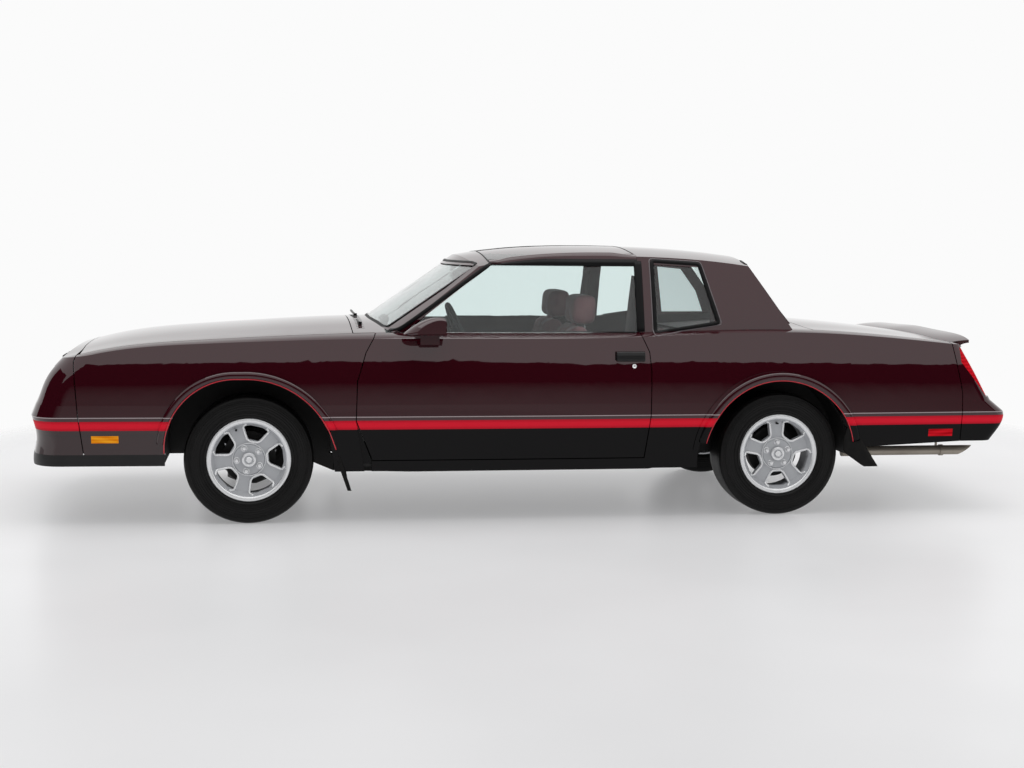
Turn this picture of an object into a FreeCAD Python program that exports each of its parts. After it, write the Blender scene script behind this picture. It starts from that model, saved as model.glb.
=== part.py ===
"""Two-door coupe with two lift-off roof panels, its body panels hung on a perimeter frame.

Frame of the part: +X points to the tail, +Y to the right-hand side, +Z up. The origin lies on the
ground, midway between nose and tail and between the two sides. All lengths are in millimetres.
"""
import FreeCAD, Part
import math
import os
import Sketcher
from FreeCAD import Placement, Rotation, Vector

SIZES = {
    # whole car
    "overall_length": 5141.0,
    "wheelbase": 2743.0,
    "front_overhang": 1118.5,
    "body_half_width": 912.0,
    "belt_height": 952.0,
    "shut_gap": 5.0,
    "seat_clearance": 0.3,
    "overrun": 400.0,
    # side section of the body
    "sill_height": 262.0,
    "stripe_height": 543.0,
    "sill_tuck": 40.0,
    "upper_tuck": 64.0,
    "end_taper": 48.0,
    "crest_radius": 34.0,
    "hood_crown": 50.0,
    "skin_thickness": 20.0,
    "cabin_half_width": 770.0,
    # nose and tail
    "nose_corner_radius": 150.0,
    "nose_bow": 55.0,
    "nose_undercut": 23.0,
    "nose_rake": 265.0,
    "tail_corner_radius": 75.0,
    "tail_bow": 20.0,
    "tail_undercut": 95.0,
    "tail_rake": 268.0,
    "dam_top_height": 356.0,
    "dam_bottom_height": 298.0,
    "dam_thickness": 16.0,
    "tail_bottom_height": 384.0,
    # wheel arches
    "arch_radius": 410.0,
    "rear_arch_radius": 425.0,
    "rear_arch_lead": 26.0,
    "arch_lip_width": 28.0,
    "arch_lip_stand_out": 5.0,
    "well_thickness": 5.0,
    # hood and boot lid
    "lid_half_width": 762.0,
    "hood_front_set_back": 300.0,
    "hood_length": 1336.0,
    "deck_set_back": 196.0,
    "deck_length": 821.0,
    # greenhouse
    "glass_thickness": 5.0,
    "glass_recess": 3.0,
    "pillar_thickness": 38.0,
    "roof_height": 1397.0,
    "roof_crown": 46.0,
    "roof_half_width": 632.0,
    "glasshouse_half_width": 806.0,
    "glasshouse_taper": 26.0,
    "cowl_from_front_axle": 640.0,
    "screen_base_height": 1012.0,
    "screen_run": 478.0,
    "screen_rise": 331.0,
    "screen_bow": 46.0,
    "backlight_base_set_back": 146.0,
    "backlight_run": 250.0,
    "backlight_rise": 340.0,
    "backlight_bow": 30.0,
    "roof_bar_half_width": 56.0,
    "roof_panel_front": 1228.0,
    "roof_panel_length": 776.0,
    "roof_panel_drip": 92.0,
    # wheels and tyres
    "front_track": 1486.0,
    "rear_track": 1468.0,
    "tyre_radius": 322.0,
    "tyre_width": 215.0,
    "tyre_shoulder": 34.0,
    "rim_lip_radius": 208.0,
    "rim_width": 196.0,
    "rim_barrel_radius": 184.0,
    "rim_thickness": 8.0,
    "rim_lip_width": 14.0,
    "disc_face_recess": 22.0,
    "disc_depth": 34.0,
    "hub_radius": 74.0,
    "hub_depth": 86.0,
    "cap_radius": 36.0,
    "cap_height": 14.0,
    "window_inner_radius": 98.0,
    "window_outer_radius": 170.0,
    "window_inner_half_width": 26.0,
    "window_outer_half_width": 62.0,
    "window_corner_radius": 12.0,
    "stud_circle_radius": 60.3,
    "stud_radius": 10.0,
    "brake_radius": 132.0,
    "brake_thickness": 22.0,
    "kingpin_inset": 100.0,
    "spindle_radius": 26.0,
    "axle_tube_radius": 38.0,
    "axle_banjo_radius": 118.0,
    "axle_banjo_half_width": 95.0,
    # frame and running gear
    "rail_width": 62.0,
    "rail_height": 104.0,
    "rail_front_half_gauge": 400.0,
    "rail_side_half_gauge": 690.0,
    "rail_rear_half_gauge": 480.0,
    "rail_base_height": 204.0,
    "exhaust_pipe_radius": 24.0,
    "exhaust_tip_radius": 25.5,
    "exhaust_wall": 2.5,
    "engine_length": 620.0,
    "engine_width": 520.0,
    "engine_height": 470.0,
    "tank_length": 500.0,
    "tank_width": 850.0,
    "tank_height": 190.0,
    "shaft_radius": 38.0,
    # cabin
    "floor_height": 300.0,
    "floor_thickness": 12.0,
    "tunnel_radius": 150.0,
    "seat_width": 456.0,
    "seat_height": 836.0,
    "seat_half_pitch": 385.0,
    "steering_wheel_radius": 185.0,
    "steering_rim_radius": 13.0,
    "column_radius": 24.0,
    # fittings
    "mirror_length": 208.0,
    "mirror_width": 118.0,
    "mirror_height": 94.0,
    "mirror_foot_length": 120.0,
    "handle_length": 148.0,
    "handle_height": 34.0,
    "handle_thickness": 9.0,
    "spoiler_chord": 150.0,
    "spoiler_half_width": 800.0,
    "spoiler_rise": 34.0,
    "wiper_length": 430.0,
    "wiper_thickness": 9.0,
    "flap_thickness": 6.0,
    "flap_width": 210.0,
}

doc = FreeCAD.newDocument("coupe")
sheet = doc.addObject("Spreadsheet::Sheet", "Sizes")
for row, (alias, value) in enumerate(SIZES.items(), start=1):
    sheet.set(f"A{row}", alias)
    sheet.set(f"B{row}", str(value))
    sheet.setAlias(f"B{row}", alias)
doc.recompute()

class Length:
    """A length with the sheet expression that gives it, so that objects can be bound to it."""

    def __init__(self, value, text):
        self.value = value
        self.text = text

    def __add__(self, other):
        return Length(self.value + other.value, f"({self.text} + {other.text})")

    def __sub__(self, other):
        return Length(self.value - other.value, f"({self.text} - {other.text})")

    def __mul__(self, share):
        return Length(self.value * share, f"({self.text} * {share})")

    def __neg__(self):
        return Length(-self.value, f"(-{self.text})")


class Sizes:
    """The sheet's numbers by name, as plain values or as bound lengths."""

    def __getattr__(self, alias):
        return float(sheet.get(alias))

    def length(self, alias):
        return Length(float(sheet.get(alias)), f"Sizes.{alias}")


S = Sizes()
NOSE_X = -S.overall_length / 2
TAIL_X = S.overall_length / 2
FRONT_AXLE_X = NOSE_X + S.front_overhang
REAR_AXLE_X = FRONT_AXLE_X + S.wheelbase
AXLE_Z = S.tyre_radius
nodes = {}


# Small tools for wires, solids and document objects

def bezier(*poles):
    curve = Part.BezierCurve()
    curve.setPoles([Vector(*p) for p in poles])
    return curve.toShape()


def polygon(points):
    corners = [Vector(*p) for p in points]
    return Part.makePolygon(corners + corners[:1])


def side_prism(points, low, high):
    """An outline in (X, Z) drawn out along Y from low to high."""
    face = Part.Face(polygon([(x, low, z) for x, z in points]))
    return face.extrude(Vector(0, high - low, 0))


def plan_prism(points, low, high):
    """An outline in (X, Y) drawn out along Z from low to high."""
    face = Part.Face(polygon([(x, y, low) for x, y in points]))
    return face.extrude(Vector(0, 0, high - low))


def block(x0, x1, y0, y1, z0, z1):
    return Part.makeBox(x1 - x0, y1 - y0, z1 - z0, Vector(x0, y0, z0))


def rod(start, end, radius):
    line = Vector(*end) - Vector(*start)
    return Part.makeCylinder(radius, line.Length, Vector(*start), line)


def mirrored(shape):
    return shape.mirror(Vector(0, 0, 0), Vector(0, 1, 0))


def both_sides(shape):
    return Part.makeCompound(shape.Solids + mirrored(shape).Solids)


def place(name, shape):
    """Adds a free-form piece to the document under its own label."""
    piece = doc.addObject("Part::Feature", name)
    piece.Label = name
    solids = shape.Solids
    piece.Shape = solids[0] if len(solids) == 1 else Part.makeCompound(solids)
    nodes[name] = piece
    return piece


def bind(target, **lengths):
    for prop, length in lengths.items():
        target.setExpression(prop.replace("__", "."), length.text)


# Outer form of the lower body: plan outlines at rising levels, under a crowned top

# height, tuck, nose set-back and tail set-forward, each as a share of its size
LOWER_LEVEL_SHARES = [
    (0.00, 1.000, 0.65, 1.00),
    (0.43, 0.475, 0.65, 0.73),
    (0.73, 0.200, 0.80, 0.14),
    (0.89, 0.075, 0.35, 0.00),
    (1.00, 0.000, 0.00, 0.07),
]
SHELF_SHARES = (0.142, 0.02, 0.085, 0.30)
UPPER_LEVEL_SHARES = [
    (0.39, 0.11, 0.234, 0.51),
    (0.575, 0.28, 0.404, 0.66),
    (0.68, 0.44, 0.55, 0.745),
    (0.82, 0.69, 0.755, 0.855),
    (1.00, 1.00, 1.00, 1.00),
    (1.18, 1.30, 1.25, 1.13),
]


def plan_outline(z, half_width, nose, tail, nose_bow, inset):
    """One closed plan outline of the body at a level, drawn in by the inset."""
    half = half_width - inset
    end = half - S.end_taper
    swell = half + S.end_taper
    x_nose = nose + inset
    x_tail = tail - inset
    front_r = S.nose_corner_radius
    rear_r = S.tail_corner_radius
    y_front = end - front_r
    y_rear = end - rear_r
    x_front = x_nose + front_r
    x_rear = x_tail - rear_r
    lean = nose_bow / y_front
    rear_lean = S.tail_bow / y_rear
    pull_share = 0.55
    front_pull = front_r * pull_share
    rear_pull = rear_r * pull_share
    right = [
        bezier((x_nose, y_front, z), (x_nose + lean * front_pull * 2, y_front + front_pull, z),
               (x_front - front_pull, end - front_pull * 2 * S.end_taper / S.overall_length, z),
               (x_front, end, z)),
        bezier((x_front, end, z), ((x_front + x_rear) / 2, swell, z), (x_rear, end, z)),
        bezier((x_rear, end, z), (x_rear + rear_pull, end, z),
               (x_tail - rear_lean * rear_pull * 2, y_rear + rear_pull, z), (x_tail, y_rear, z)),
    ]
    nose_edge = bezier((x_nose, -y_front, z), (x_nose - 2 * nose_bow, 0, z), (x_nose, y_front, z))
    tail_edge = bezier((x_tail, y_rear, z), (x_tail + 2 * S.tail_bow, 0, z), (x_tail, -y_rear, z))
    left = [mirrored(edge) for edge in reversed(right)]
    return Part.Wire(Part.__sortEdges__([nose_edge] + right + [tail_edge] + left))


def lower_level(shares, inset):
    height, tuck, nose, tail = shares
    z = S.sill_height + height * (S.stripe_height - S.sill_height)
    corner_nose = NOSE_X + S.nose_bow + nose * S.nose_undercut
    corner_tail = TAIL_X - S.tail_bow - tail * S.tail_undercut
    return plan_outline(z, S.body_half_width - tuck * S.sill_tuck, corner_nose, corner_tail,
                        S.nose_bow, inset)


def upper_level(shares, inset):
    height, tuck, nose, tail = shares
    z = S.stripe_height + height * (S.belt_height - S.stripe_height)
    corner_nose = NOSE_X + S.nose_bow + nose * S.nose_rake
    corner_tail = TAIL_X - S.tail_bow - tail * S.tail_rake
    bow_share = max(1 - nose * 1.35, 0.12)
    return plan_outline(z, S.body_half_width - tuck * S.upper_tuck, corner_nose, corner_tail,
                        S.nose_bow * bow_share, inset)


def plan_form(inset):
    lower = [lower_level(shares, inset) for shares in LOWER_LEVEL_SHARES]
    shelf = upper_level(SHELF_SHARES, inset)
    upper = [shelf] + [upper_level(shares, inset) for shares in UPPER_LEVEL_SHARES]
    low_part = Part.makeLoft(lower, True, False)
    step = Part.makeLoft([lower[-1], shelf], True, True)
    high_part = Part.makeLoft(upper, True, False)
    return low_part.fuse([step, high_part])


# station along half the length, crest height over the belt's, and crown as a share of the hood's
CREST_SHARES = [
    (-1.050, 0.777, 0.40),
    (-0.923, 0.859, 0.55),
    (-0.845, 0.908, 0.62),
    (-0.657, 0.959, 0.75),
    (-0.380, 0.992, 1.00),
    (-0.100, 1.001, 0.90),
    (0.200, 1.006, 0.70),
    (0.532, 1.019, 0.60),
    (0.740, 0.985, 0.55),
    (0.887, 0.945, 0.50),
    (1.050, 0.900, 0.45),
]
# place across the half width, share of the crown kept there, and fall in crest radii
CROSS_SHARES = [(0.0, 1.0, 0.0), (0.45, 0.74, 0.0), (0.75, 0.27, 0.0), (0.87, 0.0, 0.0),
                (0.925, -0.12, 0.35), (0.965, -0.2, 1.3), (1.02, -0.3, 3.4)]


def top_height(x_share, y_share):
    """Height of the body's top at a station, for placing what sits on it."""
    crest = near(CREST_SHARES, x_share, 1) * S.belt_height
    crown = near(CREST_SHARES, x_share, 2) * S.hood_crown
    return crest + crown * near(CROSS_SHARES, y_share, 1) - S.crest_radius * near(CROSS_SHARES, y_share, 2)


def near(table, place_share, column):
    """Value in a column of a table of shares, between its two nearest rows."""
    for low, high in zip(table, table[1:]):
        if place_share <= high[0]:
            along = (place_share - low[0]) / (high[0] - low[0])
            return low[column] + along * (high[column] - low[column])
    return table[-1][column]


def top_form(inset):
    """The body's length under its crowned top, from well below the sill."""
    half_length = S.overall_length / 2
    base = S.sill_height - S.overrun / 2
    wires = []
    rows = [(-y, crown, fall) for y, crown, fall in reversed(CROSS_SHARES[1:])] + CROSS_SHARES
    for y_share, crown, fall in rows:
        y = y_share * S.body_half_width
        line = []
        for x_share, crest, crown_here in CREST_SHARES:
            z = crest * S.belt_height + crown * crown_here * S.hood_crown - fall * S.crest_radius
            line.append(Vector(x_share * half_length, y, z - inset))
        spline = Part.BSplineCurve()
        spline.interpolate(line)
        low_rear = Vector(line[-1].x, y, base)
        low_front = Vector(line[0].x, y, base)
        edges = [spline.toShape(), Part.makeLine(line[-1], low_rear),
                 Part.makeLine(low_rear, low_front), Part.makeLine(low_front, line[0])]
        wires.append(Part.Wire(edges))
    return Part.makeLoft(wires, True, False)


def lower_body(inset):
    return plan_form(inset).common(top_form(inset))


# Outer form of the glasshouse: raked screens and crowned roof between leaning sides

SIDE_LEAN_SHARES = [(0.0, 0.0), (0.35, 0.26), (0.7, 0.62), (0.93, 0.93), (1.06, 1.2)]
ROOF_LINE_SHARES = [(0.0, 0.0), (0.12, 0.52), (0.3, 0.92), (0.52, 1.0), (0.78, 0.77), (1.0, 0.12)]
BAY_SHARES = [(0.0, 0.0), (0.4, 0.15), (0.7, 0.5), (1.0, 1.0), (1.3, 1.75)]


def glasshouse_sides(inset):
    """Plan outlines that lean in towards the roof."""
    base = S.belt_height - S.crest_radius * 2
    rise = S.roof_height - base
    front = FRONT_AXLE_X + S.cowl_from_front_axle - S.overrun
    rear = REAR_AXLE_X + S.backlight_base_set_back + S.overrun
    wires = []
    for rise_share, lean_share in SIDE_LEAN_SHARES:
        z = base + rise * rise_share
        lean = (S.glasshouse_half_width - S.roof_half_width) * lean_share
        half = S.glasshouse_half_width - lean - inset
        end = half - S.glasshouse_taper
        swell = half + S.glasshouse_taper
        middle = (front + rear) / 2
        right = bezier((front, end, z), (middle, swell, z), (rear, end, z))
        left = bezier((rear, -end, z), (middle, -swell, z), (front, -end, z))
        wires.append(Part.Wire([
            right, Part.makeLine(Vector(rear, end, z), Vector(rear, -end, z)),
            left, Part.makeLine(Vector(front, -end, z), Vector(front, end, z))]))
    return Part.makeLoft(wires, True, False)


def screen_line(bay, inset):
    """The windscreen's base and top in (X, Z) at a share of the bow across the car."""
    slope = math.atan2(S.screen_rise, S.screen_run)
    back = inset / math.sin(slope)
    x_base = FRONT_AXLE_X + S.cowl_from_front_axle + bay * S.screen_bow + back
    return (x_base, S.screen_base_height), (x_base + S.screen_run, S.screen_base_height + S.screen_rise)


def backlight_line(bay, inset):
    slope = math.atan2(S.backlight_rise, S.backlight_run)
    back = inset / math.sin(slope)
    x_base = REAR_AXLE_X + S.backlight_base_set_back - bay * S.backlight_bow - back
    return (x_base, S.screen_base_height), (x_base - S.backlight_run, S.screen_base_height + S.backlight_rise)


def roof_form(inset):
    """Side profiles of the glasshouse, set back and lowered towards the sides."""
    base_z = S.belt_height - S.crest_radius * 3
    wires = []
    rows = [(-y, bay) for y, bay in reversed(BAY_SHARES[1:])] + BAY_SHARES
    for y_share, bay in rows:
        y = y_share * S.roof_half_width
        (x0, z0), (x1, z1) = screen_line(bay, inset)
        (x3, z3), (x2, z2) = backlight_line(bay, inset)
        drop = bay * S.roof_crown + inset
        front_grow = (z0 - base_z) * (x1 - x0) / (z1 - z0)
        rear_grow = (z3 - base_z) * (x3 - x2) / (z2 - z3)
        top_rear = Vector(x2, y, z2 - drop)
        roof = []
        for along, height in ROOF_LINE_SHARES:
            z_line = z1 + (S.roof_height - z1) * height
            roof.append(Vector(x1 + (x2 - x1) * along, y, z_line - drop))
        roof[-1] = top_rear
        shift = drop * (x1 - x0) / (z1 - z0)
        rear_shift = drop * (x3 - x2) / (z2 - z3)
        roof[0] = Vector(x1, y, z1 - drop)
        spline = Part.BSplineCurve()
        spline.interpolate(roof)
        low_front = Vector(x0 - front_grow + shift, y, base_z)
        low_rear = Vector(x3 + rear_grow - rear_shift, y, base_z)
        wires.append(Part.Wire([
            Part.makeLine(low_front, roof[0]), spline.toShape(),
            Part.makeLine(roof[-1], low_rear), Part.makeLine(low_rear, low_front)]))
    return Part.makeLoft(wires, True, False)


def glasshouse(inset):
    return glasshouse_sides(inset).common(roof_form(inset))


# Region outlines of the panels, drawn in side view (X, Z)

half_length = S.overall_length / 2
gap = S.shut_gap
wall_y = S.cabin_half_width
wide = S.body_half_width + S.overrun


def side_points(shares):
    """Side-view points from shares of the half length and of the belt height."""
    return [(x * half_length, z * S.belt_height) for x, z in shares]


def shifted(points, dx, dz=0.0):
    return [(x + dx, z + dz) for x, z in points]


DOOR_FRONT_SHARES = [(-0.326, 0.336), (-0.3575, 0.547), (-0.3552, 0.752), (-0.338, 0.904), (-0.287, 1.15)]
DOOR_REAR_SHARES = [(0.203, 1.15), (0.2105, 0.989), (0.2241, 0.907), (0.2272, 0.805), (0.226, 0.559),
                    (0.2155, 0.336)]
NOSE_SEAM_SHARES = [(-0.862, 1.15), (-0.8943, 0.855), (-0.8865, 0.587), (-0.8768, 0.25)]
TAIL_SEAM_SHARES = [(0.86, 1.15), (0.879, 0.845), (0.8905, 0.675), (0.8905, 0.25)]
door_front = side_points(DOOR_FRONT_SHARES)
door_rear = side_points(DOOR_REAR_SHARES)
nose_seam = side_points(NOSE_SEAM_SHARES)
tail_seam = side_points(TAIL_SEAM_SHARES)
far_nose = NOSE_X - S.overrun
far_tail = TAIL_X + S.overrun
far_top = S.belt_height + S.overrun
far_low = S.sill_height - S.overrun / 2


def arch_cutter(low, high, grow=0.0):
    """The front wheel opening: rounder behind the wheel, upright ahead of it."""
    r = S.arch_radius + grow
    x = FRONT_AXLE_X
    front_x = x - r * 0.995
    crown_x = x - r * 0.1
    crown_z = AXLE_Z + r * 0.985
    rear = (x + r * 0.965, AXLE_Z + r * 0.34)
    front = (front_x, AXLE_Z + r * 0.2)
    low_rear = (x + r * 1.11, far_low)
    low_front = (front_x, far_low)
    diagonal = math.sqrt(0.5)
    rear_mid = (x + r * 0.615, AXLE_Z + r * 0.775)
    front_span = crown_x - front_x
    front_rise = crown_z - front[1]
    front_mid = (crown_x - front_span * diagonal, front[1] + front_rise * diagonal)

    def at(point):
        return Vector(point[0], low, point[1])
    edges = [
        Part.makeLine(at(low_rear), at(rear)),
        Part.Arc(at(rear), at(rear_mid), at((crown_x, crown_z))).toShape(),
        Part.Arc(at((crown_x, crown_z)), at(front_mid), at(front)).toShape(),
        Part.makeLine(at(front), at(low_front)),
        Part.makeLine(at(low_front), at(low_rear)),
    ]
    return Part.Face(Part.Wire(edges)).extrude(Vector(0, high - low, 0))


def rear_arch_cutter(low, high, grow=0.0):
    """The rear wheel opening, part of a circle set a little ahead of the axle."""
    centre = Vector(REAR_AXLE_X - S.rear_arch_lead, low, AXLE_Z - S.rear_arch_lead / 2)
    return Part.makeCylinder(S.rear_arch_radius + grow, high - low, centre, Vector(0, 1, 0))


outer = lower_body(0)
inner = lower_body(S.skin_thickness)
seat = lower_body(S.skin_thickness + S.seat_clearance)
skin = outer.cut(inner)
skin_seat = outer.cut(seat)
left_box = block(far_nose, far_tail, -wide, 0, far_low, far_top)

arch_left = arch_cutter(-wide, -S.rail_front_half_gauge)
rear_arch_left = rear_arch_cutter(-wide, -S.rail_front_half_gauge)

# Raised lips round the wheel openings, standing proud of the skin
lip_form = lower_body(-S.arch_lip_stand_out)
front_ring = arch_cutter(-wide, -wall_y, S.arch_lip_width).cut([
    arch_left, block(far_nose, FRONT_AXLE_X, -wide, 0, far_low, S.dam_top_height),
    block(FRONT_AXLE_X, far_tail, -wide, 0, far_low, S.sill_height)])
rear_ring = rear_arch_cutter(-wide, -wall_y, S.arch_lip_width).cut([
    rear_arch_left, block(far_nose, far_tail, -wide, 0, far_low, S.dam_top_height)])
front_lip = lip_form.common(front_ring).cut(inner)
rear_lip = lip_form.common(rear_ring).cut(inner)

# Door: the whole wall from outer skin to cabin, tapered at its rear edge
door_outline = door_front + door_rear
door_zone = side_prism(door_outline, -wide, -wall_y)
door_solid = outer.common(door_zone)
rear_edge_x = max(x for x, z in door_rear)
taper = S.cabin_half_width * 0.04
edge_wedge = plan_prism([
    (rear_edge_x + gap, -wall_y + gap), (rear_edge_x + gap, -S.body_half_width + S.skin_thickness * 2),
    (rear_edge_x - taper, -wall_y + gap)], far_low, far_top)
door_solid = door_solid.cut(edge_wedge)
handle_x = door_rear[2][0] - S.handle_length * 1.18
handle_z = S.belt_height * 0.868
pull_depth = S.skin_thickness * 2.2
pull = block(handle_x - gap, handle_x + S.handle_length + gap, -wide, -S.body_half_width + pull_depth,
             handle_z - gap, handle_z + S.handle_height + gap)
door_solid = door_solid.cut(pull)
place("door_left", door_solid)
place("door_right", mirrored(door_solid))

# Region of the door opening in the body, wider by the shut gap
opening_outline = shifted(door_front, -gap) + shifted(door_rear, gap)
opening_outline[0] = (opening_outline[0][0], opening_outline[0][1] - gap)
opening_outline[-1] = (opening_outline[-1][0], opening_outline[-1][1] - gap)
opening_left = side_prism(opening_outline, -wide, -wall_y + gap)

# Hood and boot lid outlines in plan
hood_front_x = NOSE_X + S.hood_front_set_back
hood_rear_x = hood_front_x + S.hood_length
deck_front_x = REAR_AXLE_X + S.deck_set_back
deck_rear_x = deck_front_x + S.deck_length
lid_y = S.lid_half_width


def lid_outline(front, rear, front_bow, grow):
    y = lid_y + grow
    return [(front - grow, -y), (front - front_bow - grow, -y / 2), (front - front_bow * 1.3 - grow, 0),
            (front - front_bow - grow, y / 2), (front - grow, y), (rear + grow, y), (rear + grow, -y)]


hood_bow = S.nose_bow * 0.3
hood_low = S.stripe_height * 1.2
hood_zone = plan_prism(lid_outline(hood_front_x, hood_rear_x, hood_bow, 0), hood_low, far_top)
hood_gap_zone = plan_prism(lid_outline(hood_front_x, hood_rear_x, hood_bow, gap), hood_low, far_top)
deck_zone = plan_prism(lid_outline(deck_front_x, deck_rear_x, 0, 0), hood_low, far_top)
deck_gap_zone = plan_prism(lid_outline(deck_front_x, deck_rear_x, 0, gap), hood_low, far_top)
place("hood", skin.common(hood_zone))
place("decklid", skin.common(deck_zone))

# Nose: fascia ahead of its seam, with the grille, lamp and air openings cut through
nose_zone = side_prism([(far_nose, S.dam_top_height), (far_nose, far_top), nose_seam[0], nose_seam[1],
                        nose_seam[2], (nose_seam[3][0], S.dam_top_height)], -wide, wide)
fascia = skin.common(nose_zone).cut(hood_gap_zone)


def front_window(y0, y1, z0, z1):
    """A cutter through the nose, from ahead of it to behind its skin."""
    depth = S.nose_rake + S.nose_bow + S.skin_thickness * 2
    return block(far_nose, NOSE_X + depth, y0, y1, z0, z1)


grille_half = S.body_half_width * 0.235
lamp_inner = S.body_half_width * 0.275
lamp_outer = S.body_half_width * 0.80
lamp_low = S.stripe_height * 1.165
lamp_high = S.stripe_height * 1.445
grille_low = S.stripe_height * 1.13
grille_high = S.stripe_height * 1.475
slot_low = S.dam_top_height * 1.09
slot_high = S.stripe_height * 0.86
openings = [
    front_window(-grille_half, grille_half, grille_low, grille_high),
    front_window(-lamp_outer, -lamp_inner, lamp_low, lamp_high),
    front_window(lamp_inner, lamp_outer, lamp_low, lamp_high),
    front_window(-grille_half * 1.55, grille_half * 1.55, slot_low, slot_high),
]
turn_inner = S.body_half_width * 0.47
turn_outer = S.body_half_width * 0.75
turn_openings = [front_window(-turn_outer, -turn_inner, slot_low, slot_high),
                 front_window(turn_inner, turn_outer, slot_low, slot_high)]
marker_low = S.stripe_height * 0.765
marker_high = S.stripe_height * 0.832
fascia = fascia.cut(openings + turn_openings)
place("front_fascia", fascia)

# Air dam: the thin lip under the nose, back to the front wheel
dam_inner = lower_body(S.dam_thickness)
dam_zone = side_prism([(far_nose, S.dam_bottom_height), (far_nose, S.dam_top_height - S.seat_clearance),
                       (FRONT_AXLE_X - S.arch_radius, S.dam_top_height - S.seat_clearance),
                       (FRONT_AXLE_X - S.arch_radius, S.dam_bottom_height)], -wide, wide)
place("air_dam", outer.cut(dam_inner).common(dam_zone))

# Lamps and grille sit in the openings, their faces set back in the skin
back_plate = lower_body(S.skin_thickness * 0.35)
back_inner = lower_body(S.skin_thickness * 1.6)
lens_shell = back_plate.cut(back_inner)
fit = S.seat_clearance


def lens(y0, y1, z0, z1):
    return lens_shell.common(front_window(y0 + fit, y1 - fit, z0 + fit, z1 - fit))


lamp_split = (lamp_inner + lamp_outer) / 2
lamp_parts = []
for y0, y1 in [(lamp_inner, lamp_split - gap / 2), (lamp_split + gap / 2, lamp_outer)]:
    lamp_parts.append(lens(y0, y1, lamp_low, lamp_high))
    lamp_parts.append(mirrored(lamp_parts[-1]))
place("headlamps", Part.makeCompound([p for part_ in lamp_parts for p in part_.Solids]))

turn = lens(turn_inner, turn_outer, slot_low, slot_high)
marker_zone = side_prism(side_points([(-0.861, 0.436), (-0.861, 0.474), (-0.81, 0.474), (-0.81, 0.436)]),
                         -wide, -wall_y)
front_marker = skin.common(marker_zone)
place("turn_lamps", Part.makeCompound(both_sides(turn).Solids + both_sides(front_marker).Solids))

grille_bar = S.stripe_height * 0.022
bars = []
bar_count = 8
for index in range(bar_count):
    z = grille_low + fit + (grille_high - grille_low - 2 * fit - grille_bar) * index / (bar_count - 1)
    bars.append(front_window(-grille_half + fit, grille_half - fit, z, z + grille_bar))
upright_count = 5
for index in range(upright_count):
    y = (-grille_half + fit) + (2 * grille_half - 2 * fit - grille_bar) * index / (upright_count - 1)
    bars.append(front_window(y, y + grille_bar, grille_low + fit, grille_high - fit))
grille = lens_shell.common(bars[0].fuse(bars[1:]))
place("grille", grille)

# Front fender, from the nose seam to the door, with its wheel opening
fender_zone = side_prism([
    (nose_seam[3][0] + gap, S.dam_top_height), (nose_seam[2][0] + gap, nose_seam[2][1]),
    (nose_seam[1][0] + gap, nose_seam[1][1]), (nose_seam[0][0] + gap, nose_seam[0][1]),
    (opening_outline[4][0], opening_outline[4][1]), opening_outline[3], opening_outline[2],
    opening_outline[1], (opening_outline[0][0], far_low), (FRONT_AXLE_X, far_low),
    (FRONT_AXLE_X - S.arch_radius * 0.9, far_low), (FRONT_AXLE_X - S.arch_radius * 0.9, S.dam_top_height)],
    -wide, 0)
fender = skin.common(fender_zone).cut([arch_left, hood_gap_zone, marker_zone])
plenum = block(far_nose, far_tail, -lid_y - gap, wide, far_low, far_top)
fender = fender.cut(plenum)
# the fender's gutter flange runs in under the hood and carries its edge
pillar_x = opening_outline[1][0] - S.rail_width
flange_zone = block(hood_front_x, pillar_x - fit, -lid_y - S.skin_thickness, -lid_y + S.skin_thickness,
                    hood_low, far_top)
flange = inner.cut(back_inner).common(flange_zone)
flange = flange.cut(skin_seat.common(hood_gap_zone))
fender = fender.fuse([flange, front_lip])
place("front_fender_left", fender)
place("front_fender_right", mirrored(fender))

# Tail: fascia behind its seam, with lamp recesses
tail_zone = side_prism([(far_tail, S.tail_bottom_height), (far_tail, far_top), tail_seam[0], tail_seam[1],
                        tail_seam[2], (tail_seam[3][0], S.tail_bottom_height)], -wide, wide)
tail_skin = skin.common(tail_zone).cut(deck_gap_zone)


def rear_window_cutter(y0, y1, z0, z1):
    depth = S.tail_rake + S.tail_bow + S.skin_thickness * 3
    return block(TAIL_X - depth, far_tail, y0, y1, z0, z1)


tail_low = S.stripe_height * 1.145
tail_high = S.stripe_height * 1.625
tail_inner = S.body_half_width * 0.30
tail_outer = S.body_half_width * 1.05
lamp_cut = rear_window_cutter(-tail_outer, -tail_inner, tail_low, tail_high)
tail_lamp = lens_shell.common(rear_window_cutter(-tail_outer, -tail_inner - fit, tail_low + fit,
                                                 tail_high - fit))
side_keep = side_prism([(tail_seam[1][0] + S.skin_thickness * 1.2, far_top),
                        (tail_seam[1][0] + S.skin_thickness * 1.2, tail_seam[1][1]),
                        (tail_seam[2][0] + S.skin_thickness * 7, tail_low - gap),
                        (far_tail, tail_low - gap), (far_tail, far_top)], -wide, wide)
lamp_cut = lamp_cut.common(side_keep)
tail_lamp = tail_lamp.common(side_keep).cut(deck_gap_zone)
tail_fascia = tail_skin.cut([lamp_cut, mirrored(lamp_cut)])
place("rear_fascia", tail_fascia)
rear_marker_zone = side_prism(side_points([(0.818, 0.433), (0.818, 0.474), (0.871, 0.474), (0.871, 0.433)]),
                              -wide, -wall_y)
rear_marker = skin.common(rear_marker_zone)
place("tail_lamps", Part.makeCompound(both_sides(tail_lamp).Solids + both_sides(rear_marker).Solids))

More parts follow.
